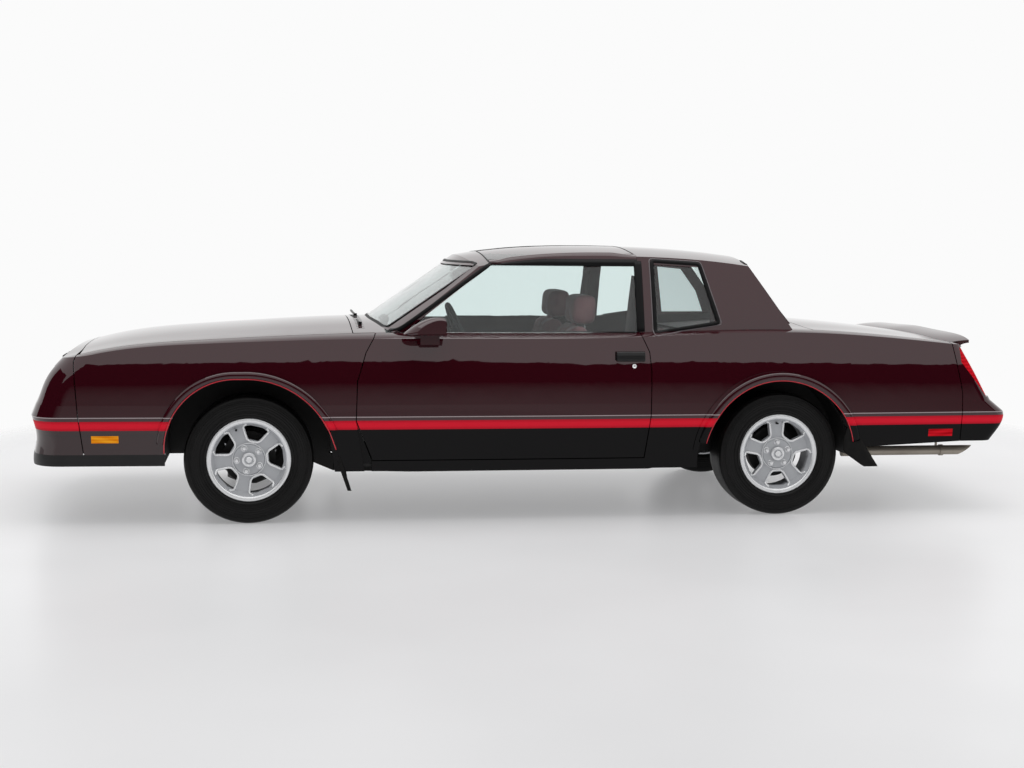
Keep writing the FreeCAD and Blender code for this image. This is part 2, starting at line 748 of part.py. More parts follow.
# Body shell: rear quarters, sills, door pillars, cowl, screen pillars and roof in one welding
quarter_rear = side_prism([
    (opening_outline[0][0] + fit, far_low), (opening_outline[0][0] + fit, opening_outline[0][1]),
    opening_outline[1], opening_outline[2], opening_outline[3], opening_outline[4],
    (tail_seam[0][0] - gap, tail_seam[0][1]), (tail_seam[1][0] - gap, tail_seam[1][1]),
    (tail_seam[2][0] - gap, tail_seam[2][1]), (tail_seam[3][0] - gap, S.tail_bottom_height),
    (REAR_AXLE_X + S.rear_arch_radius - S.rear_arch_lead * 2, S.dam_top_height),
    (REAR_AXLE_X + S.rear_arch_radius - S.rear_arch_lead * 2, far_low)],
    -wide, wide)
shell_skin = skin.common(quarter_rear)
cowl_skin = skin.common(block(hood_rear_x + gap, door_front[-1][0] + gap, -lid_y + gap, lid_y - gap,
                              hood_low, far_top))
cabin_rear_x = REAR_AXLE_X + S.backlight_base_set_back - S.pillar_thickness * 1.1
wall = outer.common(block(opening_outline[4][0], cabin_rear_x, -wide, -wall_y, far_low, far_top))
pillar = seat.common(block(pillar_x, opening_outline[4][0] + S.skin_thickness, -wide, -wall_y,
                           S.floor_height, far_top))
pillar = pillar.cut(arch_cutter(-wide, 0, S.well_thickness * 3))
cabin_hole = block(FRONT_AXLE_X + S.cowl_from_front_axle + S.screen_bow, cabin_rear_x - S.pillar_thickness,
                   -wall_y, wall_y, hood_low, far_top)
side_parts = wall.fuse(pillar)
lower_shell = shell_skin.fuse([cowl_skin, side_parts, mirrored(side_parts), rear_lip, mirrored(rear_lip)])
lower_shell = lower_shell.cut([cabin_hole, opening_left, mirrored(opening_left), deck_gap_zone,
                               rear_arch_left, mirrored(rear_arch_left), arch_left, mirrored(arch_left),
                               rear_marker_zone, mirrored(rear_marker_zone)])

# Glasshouse: the welded pillars and roof, and the glass that fills their openings
house = glasshouse(0)
house_inner = glasshouse(S.pillar_thickness)
frame_shell = house.cut(house_inner)
glass_shell = glasshouse(S.glass_recess).cut(glasshouse(S.glass_recess + S.glass_thickness))
pillar_sides = glasshouse_sides(S.pillar_thickness * 1.5)
pillar_sides_glass = glasshouse_sides(S.pillar_thickness * 1.5 + fit)

screen_base, screen_top = screen_line(0, 0)
light_base, light_top = backlight_line(0, 0)
roof_front_x = FRONT_AXLE_X + S.roof_panel_front
roof_rear_x = roof_front_x + S.roof_panel_length
drip_z = S.roof_height - S.roof_panel_drip
header = S.pillar_thickness * 1.3
screen_slope = (screen_top[0] - screen_base[0]) / (screen_top[1] - screen_base[1])
light_slope = (light_base[0] - light_top[0]) / (light_top[1] - light_base[1])


def screen_zone(trim):
    """Side-view band that holds the windscreen between cowl and header."""
    low = screen_base[1] - S.pillar_thickness + trim
    high = screen_top[1] - header - trim
    deep = S.overrun
    x_low = screen_base[0] - (screen_base[1] - low) * screen_slope
    x_high = screen_base[0] + (high - screen_base[1]) * screen_slope
    reach = S.pillar_thickness * 2 + S.screen_bow
    return side_prism([(x_low - deep, low), (x_high - deep, high), (x_high + reach, high),
                       (x_low + reach, low)], -wide, wide)


def light_zone(trim):
    """Side-view band that holds the rear window."""
    low = light_base[1] - S.pillar_thickness * 0.6 + trim
    high = light_top[1] - header - trim
    deep = S.overrun
    x_low = light_base[0] + (light_base[1] - low) * light_slope
    x_high = light_base[0] - (high - light_base[1]) * light_slope
    reach = S.pillar_thickness * 2 + S.backlight_bow
    return side_prism([(x_low + deep, low), (x_high + deep, high), (x_high - reach, high),
                       (x_low - reach, low)], -wide, wide)


DOOR_GLASS_SHARES = [(-0.272, 0.93), (-0.272, 0.985), (-0.083, 1.372), (0.2105, 1.372), (0.2065, 0.93)]
QUARTER_GLASS_SHARES = [(0.2445, 1.012), (0.2455, 1.372), (0.347, 1.358), (0.374, 1.075), (0.362, 1.058)]
door_glass_outline = side_points(DOOR_GLASS_SHARES)
quarter_outline = side_points(QUARTER_GLASS_SHARES)
door_window = side_prism(door_glass_outline, -wide, wide)
quarter_window = side_prism(quarter_outline, -wide, wide)
roof_cut_left = block(roof_front_x, roof_rear_x, -wide, -S.roof_bar_half_width, drip_z, far_top)
screen_cut = screen_zone(0).common(pillar_sides)
light_cut = light_zone(0).common(pillar_sides)
roof_frame = frame_shell.cut([screen_cut, light_cut, door_window, quarter_window, roof_cut_left,
                              mirrored(roof_cut_left)])
roof_frame = roof_frame.cut(outer)
roof_frame = Part.makeCompound([s_ for s_ in roof_frame.Solids if s_.BoundBox.ZMax > S.belt_height * 1.05])
body_shell = lower_shell.fuse(roof_frame)
body_shell = body_shell.cut([opening_left, mirrored(opening_left)])

# latch strikers stand out of the rear door pillars to just short of the closed doors
striker_high = S.stripe_height * 1.18
striker_low = striker_high - S.handle_height
(high_x, high_z), (low_x, low_z) = door_rear[3], door_rear[4]
striker_x = low_x + (high_x - low_x) * (striker_high - low_z) / (high_z - low_z) + fit * 2
striker_y = S.body_half_width - S.skin_thickness * 1.7
striker = block(striker_x, striker_x + gap * 2, -striker_y, -striker_y + S.skin_thickness * 0.5, striker_low,
                striker_high)
body_shell = body_shell.fuse([striker, mirrored(striker)])
place("body_shell", body_shell)

outer_seat = lower_body(-fit)
screen_glass = glass_shell.common(screen_zone(fit)).common(pillar_sides_glass).cut(outer_seat)
light_glass = glass_shell.common(light_zone(fit)).common(pillar_sides_glass).cut(outer_seat)
place("windshield", screen_glass)
place("rear_window", light_glass)


def trimmed(points, trim):
    """The outline drawn in towards its centre by about the trim."""
    cx = sum(x for x, z in points) / len(points)
    cz = sum(z for x, z in points) / len(points)
    shrunk = []
    for x, z in points:
        reach = math.hypot(x - cx, z - cz)
        shrunk.append((x + (cx - x) * trim / reach, z + (cz - z) * trim / reach))
    return shrunk


quarter_glass = glass_shell.common(side_prism(trimmed(quarter_outline, fit * 2), -wide, -wall_y / 2))
quarter_glass = quarter_glass.cut(outer_seat)
place("quarter_windows", both_sides(quarter_glass))

door_glass = glass_shell.common(side_prism(trimmed(door_glass_outline, gap), -wide, -wall_y / 2))
door_glass = door_glass.cut([outer_seat, roof_cut_left])
place("door_glass_left", door_glass)
place("door_glass_right", mirrored(door_glass))

panel_inner = glasshouse(S.skin_thickness)
panel_zone = block(roof_front_x + fit * 2, roof_rear_x - fit * 2, -wide, -S.roof_bar_half_width - fit * 2,
                   drip_z + gap, far_top)
roof_panel = house.cut(panel_inner).common(panel_zone)
place("roof_panels", both_sides(roof_panel))


# Inner sheet metal: wheel housings, floor, firewall and trunk floor, trimmed to the skin

seat_form = seat


def housing(cutter, grow, inboard, outboard):
    """A wheel housing: an arched sheet over the tyre with its inboard wall."""
    thick = S.well_thickness
    shell = cutter(-outboard, -inboard, grow + thick).cut(cutter(-outboard, -inboard, grow))
    wall_plate = cutter(-inboard, -inboard + thick, grow + thick)
    floor_cut = block(far_nose, far_tail, -wide, wide, far_low - S.overrun, S.floor_height + thick)
    return shell.fuse(wall_plate).cut(floor_cut).common(seat_form)


front_housing = housing(arch_cutter, S.well_thickness, S.rail_front_half_gauge + S.rail_width * 0.75,
                        S.body_half_width)
arm_slot = S.hub_radius * 1.8
front_housing = front_housing.cut([
    block(far_nose, nose_seam[1][0], -wide, 0, far_low, far_top),
    block(FRONT_AXLE_X - arm_slot, FRONT_AXLE_X + arm_slot, -S.cabin_half_width * 0.65, 0, far_low,
          AXLE_Z + S.brake_radius * 1.2)])
rear_housing = housing(rear_arch_cutter, S.well_thickness, S.rail_rear_half_gauge + S.rail_width * 1.2,
                       wall_y - fit)
axle_slot = S.axle_tube_radius * 2.2
rear_housing = rear_housing.cut(block(REAR_AXLE_X - axle_slot, REAR_AXLE_X + axle_slot, -S.cabin_half_width * 0.8,
                                      0, far_low, AXLE_Z + axle_slot))
place("wheel_housings", Part.makeCompound(both_sides(front_housing).Solids + both_sides(rear_housing).Solids))

floor_z = S.floor_height
floor_top = floor_z + S.floor_thickness
firewall_x = FRONT_AXLE_X + S.cowl_from_front_axle - S.overrun * 0.12
floor_front = firewall_x + fit
floor_rear = REAR_AXLE_X - S.rear_arch_radius - S.rear_arch_lead - S.well_thickness * 3
floor_half = wall_y - fit
tunnel_r = S.tunnel_radius
floor_plate = block(floor_front, floor_rear, -floor_half, floor_half, floor_z, floor_top)
tunnel = rod((floor_front, 0, floor_z), (floor_rear, 0, floor_z), tunnel_r)
tunnel_bore = rod((floor_front - gap, 0, floor_z), (floor_rear + gap, 0, floor_z),
                  tunnel_r - S.floor_thickness)
lower_half = block(floor_front - gap, floor_rear + gap, -tunnel_r, tunnel_r, far_low - S.overrun, floor_z)
cabin_floor = floor_plate.fuse(tunnel).cut([tunnel_bore, lower_half])
kick_z = AXLE_Z + S.axle_tube_radius + S.rail_width * 1.4
rail_high_z = kick_z + S.rail_height * 0.65
riser_top = rail_high_z + S.floor_thickness + fit
riser = block(floor_rear - S.floor_thickness, floor_rear, -floor_half, floor_half, floor_z, riser_top)
housing_reach = S.rail_rear_half_gauge + S.rail_width * 1.2 - S.well_thickness - fit
ledge = block(floor_rear - S.floor_thickness, REAR_AXLE_X, -housing_reach, housing_reach,
              riser_top - S.floor_thickness, riser_top)
cabin_floor = cabin_floor.fuse([riser, ledge])
cabin_floor = cabin_floor.cut(tunnel_bore)
place("cabin_floor", cabin_floor)

firewall_top = S.belt_height - S.crest_radius * 2.2
firewall_plate = block(firewall_x - S.floor_thickness, firewall_x, -wall_y + gap, wall_y - gap, floor_z,
                       firewall_top)
shelf_rear_x = FRONT_AXLE_X + S.cowl_from_front_axle + S.screen_bow
cowl_shelf = block(firewall_x - S.floor_thickness, shelf_rear_x, -wall_y + gap, wall_y - gap,
                   firewall_top - S.floor_thickness, firewall_top)
firewall = firewall_plate.fuse(cowl_shelf).cut(
    rod((firewall_x - S.overrun, 0, floor_z), (firewall_x + S.overrun, 0, floor_z), tunnel_r - S.floor_thickness))
place("firewall", firewall)

trunk_z = riser_top
trunk_front = REAR_AXLE_X + fit
trunk_rear = TAIL_X - S.tail_undercut - S.tail_bow - S.skin_thickness * 2
trunk_plate = block(trunk_front, trunk_rear, -wide, wide, trunk_z - S.floor_thickness, trunk_z)
trunk_plate = trunk_plate.common(seat_form)
housing_void = rear_arch_cutter(-wide, -housing_reach, S.well_thickness * 2 + fit)
trunk_plate = trunk_plate.cut([housing_void, mirrored(housing_void)])
place("trunk_floor", trunk_plate)

# Perimeter frame: box rails that run in under the hood, out beside the cabin and up over the axle

rail_w = S.rail_width
rail_h = S.rail_height
rail_z = S.rail_base_height
side_z = floor_z - rail_h * 0.62
# place along the half length, half gauge, height of the rail's underside and share of its full depth
rail_stations = [
    (NOSE_X + S.nose_rake * 0.85, S.rail_front_half_gauge, AXLE_Z + rail_h * 0.3, 1.0),
    (FRONT_AXLE_X + S.arch_radius * 0.2, S.rail_front_half_gauge, AXLE_Z + rail_h * 0.3, 1.0),
    (FRONT_AXLE_X + S.arch_radius * 1.05, S.rail_front_half_gauge, rail_z, 0.8),
    (firewall_x + S.rail_side_half_gauge * 0.32, S.rail_side_half_gauge, side_z, 0.58),
    (floor_rear - S.rail_side_half_gauge * 0.3, S.rail_side_half_gauge, side_z, 0.58),
    (floor_rear + S.rail_width * 0.6, S.rail_rear_half_gauge, side_z, 0.58),
    (REAR_AXLE_X - S.axle_banjo_radius * 0.9, S.rail_rear_half_gauge, kick_z - rail_h * 0.35, 1.0),
    (REAR_AXLE_X + S.axle_banjo_radius * 2.0, S.rail_rear_half_gauge, kick_z - rail_h * 0.35, 1.0),
    (TAIL_X - S.tail_rake * 0.95, S.rail_rear_half_gauge, kick_z - rail_h * 0.75, 1.0),
]


def rail_section(x, y, z, depth_share):
    top = z + rail_h * depth_share
    return polygon([(x, -y - rail_w / 2, z), (x, -y + rail_w / 2, z), (x, -y + rail_w / 2, top),
                    (x, -y - rail_w / 2, top)])


def cross_member(x, half, z, depth_share):
    depth = rail_h * depth_share
    return block(x - rail_w / 2, x + rail_w / 2, -half, half, z, z + depth)


left_rail = Part.makeLoft([rail_section(*station) for station in rail_stations], True, True)
members = [
    cross_member(FRONT_AXLE_X, S.rail_front_half_gauge, rail_z + rail_h * 0.3, 1.1),
    cross_member(FRONT_AXLE_X + S.arch_radius * 1.6, S.rail_side_half_gauge * 0.84, side_z, 0.56),
    cross_member(rail_stations[4][0] - rail_w, S.rail_side_half_gauge, side_z, 0.56),
    cross_member(rail_stations[7][0] + rail_w, S.rail_rear_half_gauge, rail_stations[7][2] + rail_h * 0.1,
                 0.6),
    cross_member(rail_stations[0][0] + rail_w, S.rail_front_half_gauge, rail_stations[0][2], 0.8),
    cross_member(rail_stations[8][0] - rail_w, S.rail_rear_half_gauge, rail_stations[8][2], 0.8),
]
for side in (-1, 1):
    y = side * S.rail_front_half_gauge
    members.append(block(FRONT_AXLE_X - rail_w / 2, FRONT_AXLE_X + rail_w / 2, y - rail_w / 2, y + rail_w / 2,
                         AXLE_Z - S.brake_radius * 1.1, AXLE_Z + rail_h * 0.5))
# body mounts stand on the rails and carry the floor
mounts = []
mount_r = rail_w * 0.45
for x, y, z in [(firewall_x + S.rail_side_half_gauge * 0.4, S.rail_side_half_gauge, side_z + rail_h * 0.58),
                (rail_stations[4][0] - rail_w, S.rail_side_half_gauge, side_z + rail_h * 0.58)]:
    for side in (-1, 1):
        mounts.append(rod((x, side * y, z - gap), (x, side * y, floor_z - fit), mount_r))
chassis = left_rail.fuse([mirrored(left_rail)] + members + mounts)
place("chassis_frame", chassis)

# Bodies made of sketches and features, bound to the sheet

ORIGIN = Length(0.0, "0 mm")
L = S.length


def start_body(name):
    body = doc.addObject("PartDesign::Body", name)
    body.Label = name
    nodes[name] = body
    return body


def sketch_on(body, role, name):
    sketch = body.newObject("Sketcher::SketchObject", name)
    plane = next(f for f in body.Origin.OriginFeatures if f.Role == role)
    sketch.AttachmentSupport = [(plane, "")]
    sketch.MapMode = "FlatFace"
    return sketch


def bound_outline(sketch, points):
    """A closed outline whose corners follow the sheet."""
    count = len(points)
    for index, (a, b) in enumerate(points):
        c, d = points[(index + 1) % count]
        sketch.addGeometry(Part.LineSegment(Vector(a.value, b.value, 0), Vector(c.value, d.value, 0)))
    first = sketch.GeometryCount - count
    for index, (a, b) in enumerate(points):
        line = first + index
        nxt = first + (index + 1) % count
        sketch.addConstraint(Sketcher.Constraint("Coincident", line, 2, nxt, 1))
        for kind, size in (("DistanceX", a), ("DistanceY", b)):
            number = sketch.addConstraint(Sketcher.Constraint(kind, -1, 1, line, 1, size.value))
            sketch.setExpression(f"Constraints[{number}]", size.text)


def revolved(body, points, name):
    """A turned form about the body's own Y axis: points are (radius, place along the axis)."""
    sketch = sketch_on(body, "XY_Plane", name + "_profile")
    bound_outline(sketch, points)
    turn_ = body.newObject("PartDesign::Revolution", name)
    turn_.Profile = sketch
    turn_.ReferenceAxis = (sketch, ["V_Axis"])
    turn_.Angle = 360.0
    return turn_


def wheel_body(name):
    """A cast five-window wheel: rim barrel, dished face, hub and centre cap, outboard along -Y."""
    body = start_body(name)
    half = L("rim_width") * 0.5
    lip, wall_, lip_w = L("rim_lip_radius"), L("rim_thickness"), L("rim_lip_width")
    barrel = L("rim_barrel_radius")
    face = -half + L("disc_face_recess")
    back = face + L("disc_depth")
    hub, hub_back = L("hub_radius"), face + L("hub_depth")
    cap, cap_face = L("cap_radius"), face - L("cap_height")
    points = [
        (ORIGIN, cap_face), (cap * 0.8, cap_face), (cap, cap_face + wall_ * 0.5), (cap, face),
        (hub, face), (hub + wall_, face + wall_), (barrel - wall_ * 2, face + wall_),
        (barrel - wall_, face - wall_ * 0.5), (barrel, -half + lip_w * 0.4), (lip - wall_, -half),
        (lip, -half), (lip, -half + wall_), (barrel + wall_, -half + lip_w), (barrel + wall_, half - lip_w),
        (lip, half - wall_), (lip, half), (lip - wall_, half), (barrel, half - lip_w),
        (barrel, back + wall_), (barrel - wall_, back), (hub + wall_ * 2, back), (hub, hub_back),
        (ORIGIN, hub_back)]
    revolved(body, points, name + "_turned")
    window = sketch_on(body, "XZ_Plane", name + "_window_outline")
    inner_r, outer_r = L("window_inner_radius"), L("window_outer_radius")
    inner_w, outer_w = L("window_inner_half_width"), L("window_outer_half_width")
    bound_outline(window, [(inner_r, -inner_w), (outer_r * 0.93, -outer_w), (outer_r, -outer_w * 0.5),
                           (outer_r, outer_w * 0.5), (outer_r * 0.93, outer_w), (inner_r, inner_w)])
    pocket = body.newObject("PartDesign::Pocket", name + "_window")
    pocket.Profile = window
    pocket.Type = "ThroughAll"
    pocket.Midplane = True
    pattern = body.newObject("PartDesign::PolarPattern", name + "_windows")
    pattern.Originals = [pocket]
    axis = next(f for f in body.Origin.OriginFeatures if f.Role == "Y_Axis")
    pattern.Axis = (axis, [""])
    pattern.Angle = 360.0
    pattern.Occurrences = 5
    body.Tip = pattern
    return body


def tyre_body(name):
    """A tyre: tread, rounded shoulders and side walls down to the beads on the rim."""
    body = start_body(name)
    half = L("tyre_width") * 0.5
    tread, shoulder = L("tyre_radius"), L("tyre_shoulder")
    bead = L("rim_lip_radius") + L("seat_clearance")
    rim_half = L("rim_width") * 0.5
    outer_half = [(bead, rim_half * 0.97), (bead + shoulder * 0.5, half * 0.97), (bead + shoulder * 1.3, half),
                  (tread - shoulder * 0.8, half * 0.98), (tread - shoulder * 0.3, half * 0.92),
                  (tread - shoulder * 0.06, half * 0.8), (tread, half * 0.55)]
    points = outer_half + [(r, -y) for r, y in reversed(outer_half)]
    revolved(body, points, name + "_turned")
    return body


wheel_sites = [
    ("front_left", FRONT_AXLE_X, -1, S.front_track / 2, 77.0),
    ("front_right", FRONT_AXLE_X, 1, S.front_track / 2, 41.0),
    ("rear_left", REAR_AXLE_X, -1, S.rear_track / 2, 56.0),
    ("rear_right", REAR_AXLE_X, 1, S.rear_track / 2, 23.0),
]
for corner, axle_x, side, half_track, phase in wheel_sites:
    about_z = Rotation(Vector(0, 0, 1), 0 if side < 0 else 180)
    spin = Rotation(Vector(0, 1, 0), -phase)
    site = Placement(Vector(axle_x, side * half_track, AXLE_Z), about_z.multiply(spin))
    wheel_body("wheel_" + corner).Placement = site
    tyre_body("tyre_" + corner).Placement = site

# Front hubs: brake rotor, spindle and upright that turn with the steering

spindle = S.spindle_radius
kingpin_y = S.front_track / 2 - S.kingpin_inset
hub_inner_y = S.front_track / 2 + S.rim_width / 2 - S.disc_face_recess - S.hub_depth
rotor_y = hub_inner_y - fit
upright_z = S.brake_radius * 0.9
upright_w = S.spindle_radius * 1.1


def knuckle(side):
    rotor = rod((FRONT_AXLE_X, side * rotor_y, AXLE_Z),
                (FRONT_AXLE_X, side * (rotor_y - S.brake_thickness), AXLE_Z), S.brake_radius)
    shaft = rod((FRONT_AXLE_X, side * rotor_y, AXLE_Z), (FRONT_AXLE_X, side * kingpin_y, AXLE_Z), spindle)
    post = block(FRONT_AXLE_X - upright_w, FRONT_AXLE_X + upright_w, min(side * (kingpin_y - upright_w),
                 side * (kingpin_y + upright_w)), max(side * (kingpin_y - upright_w),
                 side * (kingpin_y + upright_w)), AXLE_Z - upright_z, AXLE_Z + upright_z)
    return rotor.fuse([shaft, post])


place("knuckle_left", knuckle(-1))
place("knuckle_right", knuckle(1))


def control_arm(side, z, thick, spread):
    """A flat A-shaped arm from the frame to the upright's ball joint."""
    y_in = side * (S.rail_front_half_gauge + rail_w / 2 + fit)
    y_out = side * (kingpin_y + upright_w * 0.5)
    w = upright_w * 1.2
    outline = [(FRONT_AXLE_X - spread, y_in), (FRONT_AXLE_X - w, y_out), (FRONT_AXLE_X + w, y_out),
               (FRONT_AXLE_X + spread, y_in), (FRONT_AXLE_X + spread - w * 1.6, y_in),
               (FRONT_AXLE_X, side * (kingpin_y - w * 2)), (FRONT_AXLE_X - spread + w * 1.6, y_in)]
    return plan_prism(outline, z, z + thick)


arm_thick = S.spindle_radius
low_arm_z = AXLE_Z - upright_z - arm_thick - fit
high_arm_z = AXLE_Z + upright_z + fit
arms = []
for side in (-1, 1):
    arms.append(control_arm(side, low_arm_z, arm_thick, S.hub_radius * 1.6))
    arms.append(control_arm(side, high_arm_z, arm_thick * 0.7, S.hub_radius * 1.2))
place("front_suspension", Part.makeCompound(arms))

# Rear axle: tubes, differential bowl and brake drums on one centre line

axle = start_body("rear_axle")
drum_y = L("rear_track") * 0.5 + L("rim_width") * 0.5 - L("disc_face_recess") - L("hub_depth") \
    - L("seat_clearance")
tube, bowl, bowl_half = L("axle_tube_radius"), L("axle_banjo_radius"), L("axle_banjo_half_width")
drum, drum_w = L("brake_radius"), L("brake_thickness") * 2.4
revolved(axle, [
    (ORIGIN, -drum_y), (drum, -drum_y), (drum, -drum_y + drum_w), (tube, -drum_y + drum_w),
    (tube, -bowl_half), (bowl * 0.7, -bowl_half * 0.8), (bowl, -bowl_half * 0.35), (bowl, bowl_half * 0.35),
    (bowl * 0.7, bowl_half * 0.8), (tube, bowl_half), (tube, drum_y - drum_w), (drum, drum_y - drum_w),
    (drum, drum_y), (ORIGIN, drum_y)], "axle_turned")
axle.Placement = Placement(Vector(REAR_AXLE_X, 0, AXLE_Z), Rotation())

# Engine, one plain block on the front cross-member, and the shaft to the rear axle

member_top = rail_z + rail_h * 0.3 + rail_h * 1.1
engine = doc.addObject("Part::Box", "engine_block")
engine.Label = "engine_block"
nodes["engine_block"] = engine
bind(engine, Length=L("engine_length"), Width=L("engine_width"), Height=L("engine_height"))
engine.Placement = Placement(Vector(FRONT_AXLE_X - S.engine_length * 0.3, -S.engine_width / 2,
                                    member_top + fit), Rotation())

shaft = doc.addObject("Part::Cylinder", "drive_shaft")
shaft.Label = "drive_shaft"
nodes["drive_shaft"] = shaft
shaft_start = Vector(FRONT_AXLE_X + S.engine_length * 0.7 + fit * 5, 0, member_top + S.shaft_radius * 1.3)
shaft_end = Vector(REAR_AXLE_X - S.axle_banjo_radius - fit * 3, 0, AXLE_Z)
shaft_line = shaft_end - shaft_start
bind(shaft, Radius=L("shaft_radius"))
shaft.Height = shaft_line.Length
shaft.Placement = Placement(shaft_start, Rotation(Vector(0, 0, 1), shaft_line))

# Fuel tank between the rails behind the axle

tank = doc.addObject("Part::Box", "fuel_tank_block")
bind(tank, Length=L("tank_length"), Width=L("tank_width"), Height=L("tank_height"))
tank.Placement = Placement(Vector(REAR_AXLE_X + S.axle_banjo_radius * 3.4, -S.tank_width / 2,
                                  trunk_z - S.floor_thickness - S.tank_height - fit), Rotation())

doc.recompute()
tank_soft = doc.addObject("Part::Fillet", "fuel_tank")
tank_soft.Label = "fuel_tank"
tank_soft.Base = tank
tank_soft.Edges = [(number, S.shaft_radius, S.shaft_radius) for number in range(1, 13)]
nodes["fuel_tank"] = tank_soft

# Exhaust: pipe from the engine, muffler and one slash-cut tail pipe on each side

pipe_r = S.exhaust_pipe_radius
tip_y = S.body_half_width * 0.66
tip_z = AXLE_Z - S.exhaust_tip_radius * 0.8
muffler_x = REAR_AXLE_X + S.rear_arch_radius + S.exhaust_pipe_radius * 2


def tail_pipe(side):
    y = side * tip_y
    end_x = TAIL_X - S.tail_undercut
    run = rod((muffler_x, y, tip_z), (end_x, y, tip_z), S.exhaust_tip_radius)
    bore = rod((end_x - S.overrun, y, tip_z), (end_x + gap, y, tip_z), S.exhaust_tip_radius - S.exhaust_wall)
    slash = side_prism([(end_x + gap, tip_z - S.exhaust_tip_radius * 1.5),
                        (end_x - S.exhaust_tip_radius * 3.6, tip_z - S.exhaust_tip_radius * 1.01),
                        (end_x + gap, tip_z + S.exhaust_tip_radius * 1.4)], -wide, wide)
    return run.cut([bore, slash])


def muffler(side):
    y = side * tip_y
    return rod((muffler_x - S.rear_arch_radius * 0.1, y, tip_z), (muffler_x + fit, y, tip_z), pipe_r * 1.2)


clamp_x = TAIL_X - S.tail_rake * 1.08
hangers = []
for side in (-1, 1):
    for x in (muffler_x + S.exhaust_tip_radius * 2, TAIL_X - S.tail_rake * 1.15):
        z = tip_z + S.exhaust_tip_radius * 0.9
        y = side * tip_y
        hangers.append(block(x - gap, x + gap, y - gap, y + gap, z, trunk_z - S.floor_thickness - fit))
clamps = [rod((clamp_x, side * tip_y, tip_z), (clamp_x + S.rail_width * 0.3, side * tip_y, tip_z),
              S.exhaust_tip_radius + S.exhaust_wall * 2).cut(
                  rod((clamp_x - gap, side * tip_y, tip_z), (clamp_x + S.rail_width, side * tip_y, tip_z),
                      S.exhaust_tip_radius - S.exhaust_wall)) for side in (-1, 1)]
tail_left = tail_pipe(-1).fuse([muffler(-1), hangers[0], hangers[1], clamps[0]])
tail_right = tail_pipe(1).fuse([muffler(1), hangers[2], hangers[3], clamps[1]])
place("exhaust", Part.makeCompound(tail_left.Solids + tail_right.Solids))

# Cabin: seats, dashboard, steering wheel and column

seat_w = S.seat_width
cushion_z = floor_top + fit
seat_front_x = FRONT_AXLE_X + S.cowl_from_front_axle + S.screen_run * 1.06
seat_h = S.seat_height * 0.33
seat_round = S.shaft_radius * 1.2


def side_profile(points, y, width):
    """A soft form: a side profile drawn across the seat, with its edges rounded."""
    solid = side_prism(points, y - width / 2, y + width / 2)
    return solid


def bucket_seat(y):
    x = seat_front_x
    w = seat_w
    up = S.seat_height
    base = side_profile([(x, cushion_z), (x - w * 0.06, cushion_z + up * 0.26),
                         (x + w * 0.06, cushion_z + up * 0.35), (x + w * 1.1, cushion_z + up * 0.3),
                         (x + w * 1.1, cushion_z)], y, w)
    base = base.makeFillet(seat_round, [e for e in base.Edges if e.BoundBox.ZMin > cushion_z + up * 0.2])
    back = side_profile([(x + w * 0.92, cushion_z + up * 0.2), (x + w * 1.18, cushion_z + up * 0.8),
                         (x + w * 1.36, cushion_z + up * 0.8), (x + w * 1.24, cushion_z + up * 0.14)],
                        y, w * 0.96)
    back = back.makeFillet(seat_round * 0.8, [e for e in back.Edges if e.BoundBox.ZMax > cushion_z + up * 0.7])
    rest = side_profile([(x + w * 1.19, cushion_z + up * 0.84), (x + w * 1.225, cushion_z + up),
                         (x + w * 1.41, cushion_z + up), (x + w * 1.38, cushion_z + up * 0.84)],
                        y, w * 0.56)
    rest = rest.makeFillet(seat_round * 0.6, rest.Edges)
    stalk = block(x + w * 1.25, x + w * 1.28, y - w * 0.1, y + w * 0.1, cushion_z + up * 0.75,
                  cushion_z + up * 0.88)
    return base.fuse([back, rest, stalk])


place("front_seat_left", bucket_seat(-S.seat_half_pitch))
place("front_seat_right", bucket_seat(S.seat_half_pitch))

bench_x = floor_rear - S.seat_width * 0.94
bench_half = housing_reach - S.rail_width * 1.2
bench = side_prism([(bench_x, floor_top + fit), (bench_x - seat_round, floor_top + seat_h * 0.9),
                    (floor_rear - S.floor_thickness - fit, floor_top + seat_h * 0.82),
                    (floor_rear - S.floor_thickness - fit, floor_top + fit)], -bench_half, bench_half)
bench = bench.cut(rod((bench_x - seat_w, 0, floor_z), (floor_rear, 0, floor_z), tunnel_r + fit))
bench_back = side_prism([(floor_rear - S.floor_thickness, riser_top + fit),
                         (floor_rear + seat_w * 0.2, S.belt_height - S.crest_radius),
                         (floor_rear + seat_w * 0.44, S.belt_height - S.crest_radius),
                         (floor_rear + seat_w * 0.3, riser_top + fit)], -bench_half, bench_half)
bench = Part.makeCompound(bench.Solids + bench_back.Solids)
place("rear_seat", bench)

dash_front = shelf_rear_x + fit
dash_top = S.belt_height - S.crest_radius * 0.6
dash_deep = S.screen_run * 0.7
dash_half = wall_y - S.pillar_thickness * 2
dash = side_prism([(dash_front, dash_top), (dash_front + dash_deep * 0.7, dash_top + S.crest_radius * 0.3),
                   (dash_front + dash_deep, dash_top - S.crest_radius * 2), (dash_front + dash_deep * 0.86,
                    dash_top - S.crest_radius * 7), (dash_front + dash_deep * 0.2, dash_top - S.crest_radius * 8),
                   (dash_front, dash_top - S.crest_radius * 4)], -dash_half, dash_half)
place("dashboard", dash)

